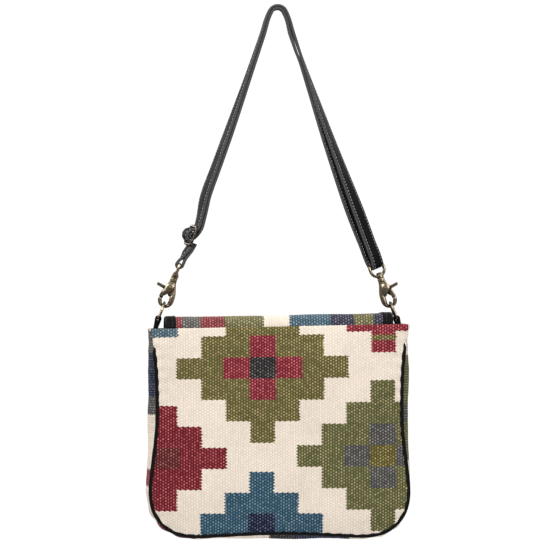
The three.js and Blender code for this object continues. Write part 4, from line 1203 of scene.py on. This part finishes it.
class BAG_OT_flap(bpy.types.Operator):
    """Flap with its lining, its leather binding and the stitches in it"""

    bl_idname = "bag.flap"
    bl_label = "Flap"

    def execute(self, context):
        cloth, leather = context.scene.bag_cloth, context.scene.bag_leather
        line = flap_line(cloth.flap_thick)
        lengths = np.linspace(0, line.length - FLAP_EDGE_GAP, FLAP_ROWS)
        along = lengths[:, None]
        x = np.linspace(-1, 1, FLAP_COLUMNS)[None, :] * flap_half(along, line)
        flat = side_by_side(x, along)
        band = (-PAST_CLOTH, FLAP_BAND_END * MM)
        bars = [(first * MM, last * MM, *band, tone) for first, last, tone in FLAP_TOP_BARS]
        look = kilim_look("kilim flap", cloth, in_metres(FLAP_DIAMONDS), bars, sheen_paling=FLAP_SHEEN)
        cotton = bpy.data.materials.get(COTTON) or lining_look(cloth)
        under = -(cloth.flap_thick + cloth.flap_lining_thick) / 2 - FLAP_LINING_GAP
        area = grid_area(flap_point(along, x, 0.0, line, cloth))
        for name, node, off, thick, finish in (
            ("flap_cloth", "flap", 0.0, cloth.flap_thick, look),
            ("flap_lining_cloth", "flap_lining", under, cloth.flap_lining_thick, cotton),
        ):
            piece = cloth_piece(name, flap_point(along, x, off, line, cloth), flat, thick, finish)
            stands_for(piece, node)
        edge = flap_edge(line)
        self.bind(edge, line, cloth, leather)
        self.sew(edge, line, cloth, leather)
        return {"FINISHED"}

    def bind(self, edge, line, cloth, leather):
        """Folds the leather binding round the flap's edge."""
        reach, off = np.array(BINDING_SECTION).T * MM
        lengths = edge[:, :1] + edge[:, 2:3] * reach
        x = edge[:, 1:2] + edge[:, 3:4] * reach
        points, faces = lofted(flap_point(lengths, x, off, line, cloth))
        flat = side_by_side(lengths, x).reshape(-1, 2)
        look = leather_look("binding leather", leather)
        stands_for(build("flap_binding_leather", points, faces, flat, look), "flap_binding")

    def sew(self, edge, line, cloth, leather):
        """Sews the binding on, with one row of stitches."""
        walk = SmoothLine(edge, 2)
        walked = np.arange(leather.stitch_pitch, walk.length, leather.stitch_pitch)

        def sewn(reached, off):
            at = walk.at(reached)
            lengths = at[:, 0] + at[:, 2] * BINDING_STITCH_REACH
            x = at[:, 1] + at[:, 3] * BINDING_STITCH_REACH
            return flap_point(lengths, x, off, line, cloth)

        spots = sewn(walked, BINDING_STITCH_OFF)
        along = unit(sewn(walked + STITCH_AHEAD, BINDING_STITCH_OFF) - spots)
        out = unit(sewn(walked, BINDING_STITCH_OFF + MM) - spots)
        look = thread_look("binding thread", leather.dark_thread)
        goes_with(stitch_piece("flap_stitches", spots, along, out, leather, look), "flap_binding")


# Strap

STRAP_WIDTH = 18 * MM
STRAP_THICK = 3 * MM
STRAP_STEP = 0.9 * MM
STRAP_TANGENT = 0.4 * MM
STRAP_HEART = np.array((0, 0, -0.14))  # inside the strap's big loop
STITCH_SINK = 0.15 * MM
STATION_CORNERS = 4
SAME_LENGTH = TOUCH / 10  # lengths closer than this are one length
RIGHT_TWIST = (16.0, (0.02, 0.115), (0.2, 0.27))  # degrees, and where it grows and ends below the crest
LEFT_TWIST = (7.0, (0.05, 0.14), (0.2, 0.222))
INNER_PRESS = 0.85 * MM
PRESS_GROWS = (0.03, 0.06)  # lengths along the strap
PRESS_ENDS = (0.37, 0.43)
SLIT_OPENS = (0.284, 0.3)
SLIT_CLOSES = (0.318, 0.336)
LOOP_START = 1.148  # length along the strap at which its sewn loop begins
LOOP_EYE = np.array((-0.1027, 0, -0.2673))  # the place in that loop that the left eye fills
LOOP_WAY = np.array((0.492, 0, 0.87))  # up the strap from there
LOOP_SIDE = np.array((LOOP_WAY[2], 0, -LOOP_WAY[0]))
LOOP_WIDE = 3.5 * MM  # from the loop's middle to its leather's middle, at the eye and above it
LOOP_SHUT = 1.8 * MM
LOOP_CLOSES = (0.001, 0.008)  # heights above the eye
STRAP_FACE = (  # across and off the strap, from its edge to its middle, with the groove for the stitches
    (-8.95, 0.45), (-8.5, 1.05), (-7.8, 1.38), (-6.7, 1.45),
    (-6.2, 1.25), (-5.7, 1.45), (-3.0, 1.52), (0.0, 1.55),
)


def strap_section():
    """The strap's closed section, across it and off its middle."""
    half = np.array(STRAP_FACE) * MM
    upper = np.concatenate((half, half[-2::-1] * (-1, 1)))
    return np.concatenate((upper, upper[::-1] * (1, -1)))


def strap_stations():
    """Middle and width direction of the strap's stations, in order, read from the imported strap."""
    shape = bmesh.new()
    shape.from_mesh(frame["nodes"]["strap"].data)
    bmesh.ops.remove_doubles(shape, verts=shape.verts, dist=TOUCH)
    opposite, beside = {}, {}
    for edge in shape.edges:
        first, second = edge.verts
        for pairs, length in ((opposite, STRAP_WIDTH), (beside, STRAP_THICK)):
            if abs(edge.calc_length() - length) < SAME_LENGTH:
                pairs.update({first: second, second: first})
    station_of = {}
    for corner in shape.verts:
        corners = (corner, opposite[corner], beside[corner], beside[opposite[corner]])
        station_of[corner] = frozenset(corners)
    order = [next(station for station in station_of.values() if len(next_to(station, station_of)) == 1)]
    while len(order) < len(shape.verts) / STATION_CORNERS:
        ahead = next_to(order[-1], station_of)
        order.append(next(station for station in ahead if station not in order[-2:]))
    rows = []
    for station in order:
        middle = sum((corner.co for corner in station), Vector()) / STATION_CORNERS
        across = next(opposite[corner].co - corner.co for corner in station)
        across = across if across.y > 0 else -across
        rows.append((*middle, *across.normalized()))
    shape.free()
    return np.array(rows)


def next_to(station, station_of):
    """Stations of the strap next to one of its stations."""
    beyond = {station_of[edge.other_vert(corner)] for corner in station for edge in corner.link_edges}
    return beyond - {station}


class BAG_OT_strap(bpy.types.Operator):
    """Doubled leather strap with a row of stitches along each edge"""

    bl_idname = "bag.strap"
    bl_label = "Strap"

    def execute(self, context):
        leather = context.scene.bag_leather
        look = leather_look("strap leather", leather, edged=True)
        route = SmoothLine(strap_stations())
        lengths = np.linspace(0, route.length, int(route.length / STRAP_STEP))
        spots, across, face = (part[:, None] for part in self.frames(route, lengths))
        section = strap_section()
        points, faces = lofted(spots + section[:, :1] * across + section[:, 1:] * face)
        flat = side_by_side(section[:, 0], lengths[:, None]).reshape(-1, 2)
        stands_for(build("strap_leather", points, faces, flat, look), "strap")
        self.sew(route, leather)
        return {"FINISHED"}

    def frames(self, route, lengths):
        """Places along the strap, with the directions of its width and of its face."""
        spots = route.at(lengths)
        middle, across = spots[:, :3], unit(spots[:, 3:])
        along = unit(route.at(lengths + STRAP_TANGENT)[:, :3] - route.at(lengths - STRAP_TANGENT)[:, :3])
        face = unit(np.cross(across, along))
        more = np.where(middle[:, 0] > 0, self.twist(middle, *RIGHT_TWIST), self.twist(middle, *LEFT_TWIST))
        more *= np.sign(across[:, 0])
        way = face * np.sign(face[:, :1])
        across = unit(across * np.cos(more)[:, None] + way * np.sin(more)[:, None])
        face = unit(np.cross(across, along))
        return self.lay(middle, face, lengths), across, face

    def twist(self, middle, degrees, grows, ends):
        """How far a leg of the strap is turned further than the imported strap."""
        fall = -middle[:, 2]
        return math.radians(degrees) * ease(fall, *grows) * (1 - ease(fall, *ends))

    def lay(self, middle, face, lengths):
        """Presses the inner layer against the outer one, and the sewn loop together above its eye."""
        press = INNER_PRESS * ease(lengths, *PRESS_GROWS) * (1 - ease(lengths, *PRESS_ENDS))
        press *= 1 - ease(lengths, *SLIT_OPENS) * (1 - ease(lengths, *SLIT_CLOSES))
        away = np.sign(np.sum(face * (middle - STRAP_HEART), axis=1))
        laid = middle + face * (away * press)[:, None]
        reach = laid - LOOP_EYE
        rise, aside = reach @ LOOP_WAY, reach @ LOOP_SIDE
        room = LOOP_WIDE - (LOOP_WIDE - LOOP_SHUT) * ease(rise, *LOOP_CLOSES)
        pinch = np.where(lengths > LOOP_START, np.clip(aside, -room, room) - aside, 0)
        return laid + pinch[:, None] * LOOP_SIDE

    def sew(self, route, leather):
        """Sews a row of stitches along both edges of both faces."""
        lengths = np.arange(leather.stitch_pitch, route.length - leather.stitch_pitch, leather.stitch_pitch)
        middle, across, face = self.frames(route, lengths)
        along = unit(np.cross(face, across))
        reach = STRAP_WIDTH / 2 - leather.margin
        lift = STRAP_THICK / 2 - STITCH_SINK
        rows = [(side, top) for side in (-reach, reach) for top in (-1, 1)]
        spots = np.concatenate([middle + across * side + face * (top * lift) for side, top in rows])
        ways = np.concatenate([along] * len(rows))
        outs = np.concatenate([face * top for _, top in rows])
        look = thread_look("strap thread", leather.thread)
        goes_with(stitch_piece("strap_stitches", spots, ways, outs, leather, look), "strap")


# Castings and tabs

CLASP_PIN = np.array(JOINT_OF["gate_open_left"]["pos_m"])  # middle of the left clasp's gate pin
CLASP_UP = np.array(JOINT_OF["clasp_swivel_left"]["axis"])  # along the left clasp's post
CLASP_OUT = np.array((-CLASP_UP[2], 0, CLASP_UP[0]))  # from the left clasp's spine to its gate
CLASP_ASIDE = np.array((0, 1, 0))  # along the pin
SIDES = (("left", np.array((1, 1, 1))), ("right", np.array((-1, 1, 1))))
SPRING_SEAT = -2.7 * MM  # from the pin to the back of the gate's slot
LOBED_CHEEK = (  # outwards and upwards from the pin
    (5.1, 2.2), (6.0, -2.6), (6.6, -7.0), (6.6, -10.0), (4.8, -12.0), (2.2, -9.6),
    (-1.2, -5.4), (-4.0, -2.2), (-5.2, 0.6), (-4.0, 3.6), (-0.6, 5.4), (3.3, 4.4),
)
PLAIN_CHEEK = (
    (4.6, 2.4), (5.7, -1.8), (3.2, -4.6), (0.4, -6.8), (-1.6, -9.2),
    (-3.6, -9.6), (-5.4, -4.0), (-4.6, 2.0), (-1.5, 4.8), (2.5, 4.6),
)
CHEEK_LAYERS = (  # along the pin, with the share of the outline there
    (1.65, 1.0), (3.4, 1.0), (4.2, 0.88), (4.8, 0.64), (5.1, 0.34),
)
CHEEK_CUTS = 2  # rounds in which corners are cut
CUT_SHARE = 0.25  # of a side, cut off at each end
SPINE = (  # outwards and upwards from the pin, with the radius of the swelling there
    (0.2, 10.0, 1.0), (-2.2, 4.0, 1.6), (-4.8, -3.0, 1.7),
    (-6.2, -10.0, 2.1), (-6.5, -14.5, 1.9), (-5.4, -18.0, 1.2),
)
SPINE_SIDE = 1.9 * MM
SPINE_SECTIONS = 16
PIN_HEAD = ((3.0, 1.1), (5.1, 1.1), (5.4, 0.8), (5.5, 0.3))  # along the pin, with the radius there
LEVER_LINE = ((3.0, -2.8), (14.3, -1.2))  # its ends, outwards and upwards from the pin
LEVER_PROFILE = ((0, 1), (0.7, 1), (0.93, 1), (0.99, 0.7), (1, 0.3))  # along the lever, with its swelling
LEVER_RADIUS = 1.3 * MM
LIMB_GROWTH = 1.1 * MM  # how much stouter a clasp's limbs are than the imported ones
OUTER_LIMB = ((2, 3), (3, 8))  # millimetres outwards and downwards from the pin over which growth sets in
INNER_LIMB = ((-4, -3.2), (-18, -14), (-10, -7))  # outwards, and upwards at both ends
EYE_GROWTH = 0.2 * MM
SLIDER_GROWTH = 0.4 * MM
SMOOTHING = 0.5
BAR_CORNERS = 16
BAR_TURNS = np.linspace(0, math.tau, BAR_CORNERS, endpoint=False)
BAR_COS, BAR_SIN = np.cos(BAR_TURNS), np.sin(BAR_TURNS)
TAB_GRAIN = 0.35 * MM
TAB_ROUNDING = 10


def on_clasp(out, aside, up, turn):
    """Points given from a clasp's pin: towards its gate, along its pin and up its post."""
    out, aside, up = (part[..., None] for part in np.broadcast_arrays(out, aside, up))
    return (CLASP_PIN + out * CLASP_OUT + up * CLASP_UP + aside * CLASP_ASIDE) * turn


def rounded(outline):
    """A closed outline in metres, with its corners cut round."""
    corners = np.array(outline) * MM
    for _ in range(CHEEK_CUTS):
        others = np.roll(corners, -1, axis=0)
        first = (1 - CUT_SHARE) * corners + CUT_SHARE * others
        second = CUT_SHARE * corners + (1 - CUT_SHARE) * others
        corners = np.stack((first, second), axis=1).reshape(-1, 2)
    return corners


def cheek_parts(turn):
    """The two unlike cheeks that cover a clasp's gate at its pin, and the swellings down its spine.

    Both clasps are of one casting, and the right one is turned round, so it shows its other cheek.
    """
    line = SmoothLine(np.array(SPINE) * MM)
    out, up, radius = line.at(np.linspace(0, line.length, SPINE_SECTIONS)).T[..., None]
    parts = []
    for side in (-1, 1):
        outline = rounded(LOBED_CHEEK if side * turn[0] < 0 else PLAIN_CHEEK)
        heart = outline.mean(axis=0)
        plate = []
        for depth, part in CHEEK_LAYERS:
            outwards, upwards = (heart + (outline - heart) * part).T
            plate.append(on_clasp(outwards, side * depth * MM, upwards, turn))
        swelling = on_clasp(out + radius * BAR_COS, side * SPINE_SIDE + radius * BAR_SIN, up, turn)
        parts += [lofted(np.stack(plate)), lofted(swelling)]
    return parts


def pin_parts(turn):
    """The rounded heads of a gate's pin."""
    reach, radius = np.array(PIN_HEAD).T[..., None] * MM
    return [lofted(on_clasp(radius * BAR_COS, side * reach, radius * BAR_SIN, turn)) for side in (-1, 1)]


def lever_parts(turn):
    """The rounded thumb lever of a gate."""
    start, end = np.array(LEVER_LINE) * MM
    reach, swell = np.array(LEVER_PROFILE).T[..., None]
    out, up = ((first + (last - first) * reach) for first, last in zip(start, end))
    radius = LEVER_RADIUS * swell
    return [lofted(on_clasp(out, radius * BAR_COS, up + radius * BAR_SIN, turn))]


def limb_growth(points, normals, turn):
    """Moves a clasp's nose and gate outwards and its spine inwards, clear of the ring and the gate's slot."""
    reach = points * turn - CLASP_PIN
    out, up = reach @ CLASP_OUT / MM, reach @ CLASP_UP / MM
    facing = np.maximum((normals * turn) @ CLASP_OUT, 0)
    outwards, downwards = OUTER_LIMB
    outer = ease(out, *outwards) * ease(-up, *downwards)
    inwards, foot, shoulder = INNER_LIMB
    inner = (1 - ease(out, *inwards)) * ease(up, *foot) * (1 - ease(up, *shoulder))
    return points + ((outer + inner) * facing * LIMB_GROWTH)[:, None] * CLASP_OUT * turn


def wire_growth(points, normals, by):
    """Makes a bent wire stouter."""
    return points + normals * by


def cast_piece(node, grain, rounds, look, parts=(), grow=None):
    """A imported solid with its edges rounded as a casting's or a folded leather's are."""
    name = node + "_finish"
    mesh = frame["nodes"][node].data.copy()
    mesh.name = name
    mesh.materials.clear()
    mesh.materials.append(look)
    welded = bmesh.new()
    welded.from_mesh(mesh)
    bmesh.ops.remove_doubles(welded, verts=welded.verts, dist=TOUCH)
    for points, faces in parts:
        corners = [welded.verts.new(point) for point in points]
        for face in faces:
            welded.faces.new([corners[corner] for corner in face])
    welded.to_mesh(mesh)
    welded.free()
    piece = add_piece(name, mesh)
    net = piece.modifiers.new("net", "REMESH")
    net.mode = "VOXEL"
    net.voxel_size = grain
    soft = piece.modifiers.new("soft", "SMOOTH")
    soft.factor = SMOOTHING
    soft.iterations = rounds
    take_result(piece)
    if grow:
        grown = grow(mesh_vectors(piece.data, "co"), mesh_vectors(piece.data, "normal"))
        piece.data.vertices.foreach_set("co", grown.ravel())
    piece.data.polygons.foreach_set("use_smooth", [True] * len(piece.data.polygons))
    piece.data.update()
    stands_for(piece, node)


class BAG_OT_tabs(bpy.types.Operator):
    """Leather tabs that hold the rings"""

    bl_idname = "bag.tabs"
    bl_label = "Tabs"

    def execute(self, context):
        look = leather_look("tab leather", context.scene.bag_leather)
        for side, _ in SIDES:
            cast_piece("tab_" + side, TAB_GRAIN, TAB_ROUNDING, look)
        return {"FINISHED"}


class BAG_OT_hardware(bpy.types.Operator):
    """Rings, clasps with their springs, eyes, slider and snap"""

    bl_idname = "bag.hardware"
    bl_label = "Hardware"

    def execute(self, context):
        brass = context.scene.bag_brass
        look = antique_look("antique brass", brass.bright, brass.dark, BRASS_ROUGHNESS)
        plate_rounds, wire_rounds, pin_rounds = (brass.rounding // part for part in (2, 3, 6))
        eye = partial(wire_growth, by=EYE_GROWTH)
        for side, turn in SIDES:
            limbs = partial(limb_growth, turn=turn)
            cast_piece("clasp_hook_" + side, brass.grain, brass.rounding, look, cheek_parts(turn), limbs)
            cast_piece("gate_" + side, brass.grain, brass.rounding, look, lever_parts(turn), limbs)
            cast_piece("gate_pin_" + side, brass.grain, pin_rounds, look, pin_parts(turn))
            cast_piece("d_ring_" + side, brass.grain, wire_rounds, look)
            cast_piece("swivel_eye_" + side, brass.grain, wire_rounds, look, grow=eye)
        wear_and_highlight = antique_look("worn brass", brass.dull, brass.dark, BRASS_ROUGHNESS)
        slider = partial(wire_growth, by=SLIDER_GROWTH)
        cast_piece("strap_slider", brass.grain, wire_rounds, wear_and_highlight, grow=slider)
        plate = antique_look("snap plate", brass.polished, brass.dark, PLATE_ROUGHNESS)
        for node in ("snap_socket", "snap_stud"):
            cast_piece(node, brass.grain, plate_rounds, plate)
        steel = antique_look("spring steel", brass.steel, brass.dark, STEEL_ROUGHNESS)
        for side, turn in SIDES:
            self.spring(side, turn, steel)
        return {"FINISHED"}

    def spring(self, side, turn, look):
        """The leaf spring behind a gate."""
        node = "gate_spring_" + side
        mesh = frame["nodes"][node].data.copy()
        mesh.materials.clear()
        mesh.materials.append(look)
        leaf = add_piece(node + "_leaf", mesh)
        stands_for(leaf, node)
        seat = tuple(on_clasp(SPRING_SEAT, 0, 0, turn))
        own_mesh(leaf)


# Stage

FLOOR_SIDES = 96
FLOOR_PROFILE = ((0.3, 0.0), (1.5, 0.0), (1.5, 0.005), (0.3, 0.005))  # radius and depth
FLOOR_SOLID = 0.45  # radius within which the floor is solid
FLOOR_FADE = 0.8
FIBRE_SCALE = 60.0
FIBRE_LIGHT = 0.02
PAPER_GROUND = 0.99  # lightness before the fibres, as a share of the paper's colour
PAPER_ROUGHNESS = 0.95
AIR_LIGHT = (0.12, 0.36)  # from the sides and from straight above
AIR_RISE = (0.0, 0.9)  # heights on a sphere of radius 1, between which the light grows
AIR_SEEN = 1.05
LIGHTS = (  # place, width and power
    ("key", (-1.0, -1.35, 1.05), 1.0, 40.0),
    ("fill", (1.5, -1.5, 0.5), 1.0, 23.8),
    ("top", (0.0, 0.0, 1.5), 1.0, 1.5),
    ("front_key", (1.0, 1.35, 0.8), 1.0, 24.0),
    ("front_fill", (-1.5, 1.5, 0.5), 1.0, 20.0),
)
LIGHT_AIM = 0.1  # above the bag's middle
SENSOR = 36  # millimetres, as the lens is
VIEW_END = 50


def aimed(place, way):
    """Stands at a place and looks along a way."""
    return Matrix.Translation(place) @ way.to_track_quat("-Z", "Y").to_matrix().to_4x4()


class BAG_OT_stage(bpy.types.Operator):
    """Pale floor, soft lights from both sides and the camera"""

    bl_idname = "bag.stage"
    bl_label = "Stage"

    def execute(self, context):
        stage = context.scene.bag_stage
        context.scene.view_settings.view_transform = "Standard"
        self.floor(stage)
        self.air(context.scene)
        self.lights()
        self.camera(context.scene, stage)
        return {"FINISHED"}

    def floor(self, stage):
        """A round pale floor that fades out towards its rim."""
        level = BASE - stage.drop
        turns = np.arange(FLOOR_SIDES) * math.tau / FLOOR_SIDES
        circle = side_by_side(np.cos(turns), np.sin(turns), 0.0)
        rings = np.stack([circle * reach + (0, 0, level - depth) for reach, depth in FLOOR_PROFILE])
        points, faces = lofted(rings)
        shader = new_look("studio paper")
        place = shader.solid_place()
        across, along = shader.split(place)
        reach = (across * across + along * along) ** 0.5
        fibres = shader.noise(place, FIBRE_SCALE)
        shader.set(
            Base_Color=shader.shade(stage.paper, PAPER_GROUND + fibres * FIBRE_LIGHT),
            Roughness=PAPER_ROUGHNESS,
            Alpha=1 - ((reach - FLOOR_SOLID) / FLOOR_FADE).clamped(),
        )
        build("studio_floor", points, faces, points[:, :2], shader.block)

    def air(self, scene):
        """White where it is looked at. On the bag it shines softly from above and less from the sides."""
        scene.world = bpy.data.worlds.new("studio air")
        shader = Shader(scene.world, "Background")
        seen = shader.node("ShaderNodeLightPath", {}, {}, output="Is Camera Ray")
        way = shader.node("ShaderNodeTexCoord", {}, {}, output="Generated")
        height = shader.node("ShaderNodeSeparateXYZ", {}, {0: way}, output="Z")
        ends = dict(zip(("From Min", "From Max", "To Min", "To Max"), (*AIR_RISE, *AIR_LIGHT)))
        shine = shader.node("ShaderNodeMapRange", {}, {"Value": height, **ends})
        strength = shader.node("ShaderNodeMix", {}, {0: seen, 2: shine, 3: AIR_SEEN})
        shader.set(Color=(1, 1, 1), Strength=strength)

    def lights(self):
        middle = Vector((0, 0, BAG_MIDDLE + LIGHT_AIM))
        for name, place, width, power in LIGHTS:
            lamp = bpy.data.lights.new(name, "AREA")
            lamp.size = width
            lamp.energy = power
            add_piece(name, lamp).matrix_world = aimed(place, middle - Vector(place))

    def camera(self, scene, stage):
        lens = bpy.data.cameras.new("camera")
        lens.sensor_width = SENSOR
        lens.lens = SENSOR * stage.distance / stage.view_width
        lens.clip_end = VIEW_END
        level = math.cos(stage.elevation)
        way = Vector(
            (math.sin(stage.azimuth) * level, -math.cos(stage.azimuth) * level, math.sin(stage.elevation))
        )
        target = Vector((stage.view_aside, DEPTH_MIDDLE, stage.view_height))
        scene.camera = add_piece("camera", lens)
        scene.camera.matrix_world = aimed(target + way * stage.distance, -way)


class BAG_PT_pieces(bpy.types.Panel):
    """Pieces of the bag, in the order in which they are made"""

    bl_label = "Woven Shoulder Bag"
    bl_space_type = "VIEW_3D"
    bl_region_type = "UI"
    bl_category = "Bag"

    def draw(self, context):
        for operator in OPERATORS:
            self.layout.operator(operator.bl_idname)
        for name in SETTINGS:
            settings = getattr(context.scene, name)
            for key in settings.__annotations__:
                self.layout.prop(settings, key)


SETTINGS = {"bag_cloth": BagCloth, "bag_leather": BagLeather, "bag_brass": BagBrass, "bag_stage": BagStage}
OPERATORS = (
    BAG_OT_stage,
    BAG_OT_panels,
    BAG_OT_gusset,
    BAG_OT_piping,
    BAG_OT_lining,
    BAG_OT_flap,
    BAG_OT_tabs,
    BAG_OT_hardware,
    BAG_OT_strap,
)


def register():
    for kind in (*SETTINGS.values(), *OPERATORS, BAG_PT_pieces):
        bpy.utils.register_class(kind)
    for name, kind in SETTINGS.items():
        setattr(bpy.types.Scene, name, bpy.props.PointerProperty(type=kind))


def unregister():
    for name in SETTINGS:
        delattr(bpy.types.Scene, name)
    for kind in (BAG_PT_pieces, *reversed(OPERATORS), *reversed(SETTINGS.values())):
        bpy.utils.unregister_class(kind)


def main():
    register()
    for operator in OPERATORS:
        group, name = operator.bl_idname.split(".")
        getattr(getattr(bpy.ops, group), name)()


if __name__ == "__main__":
    main()
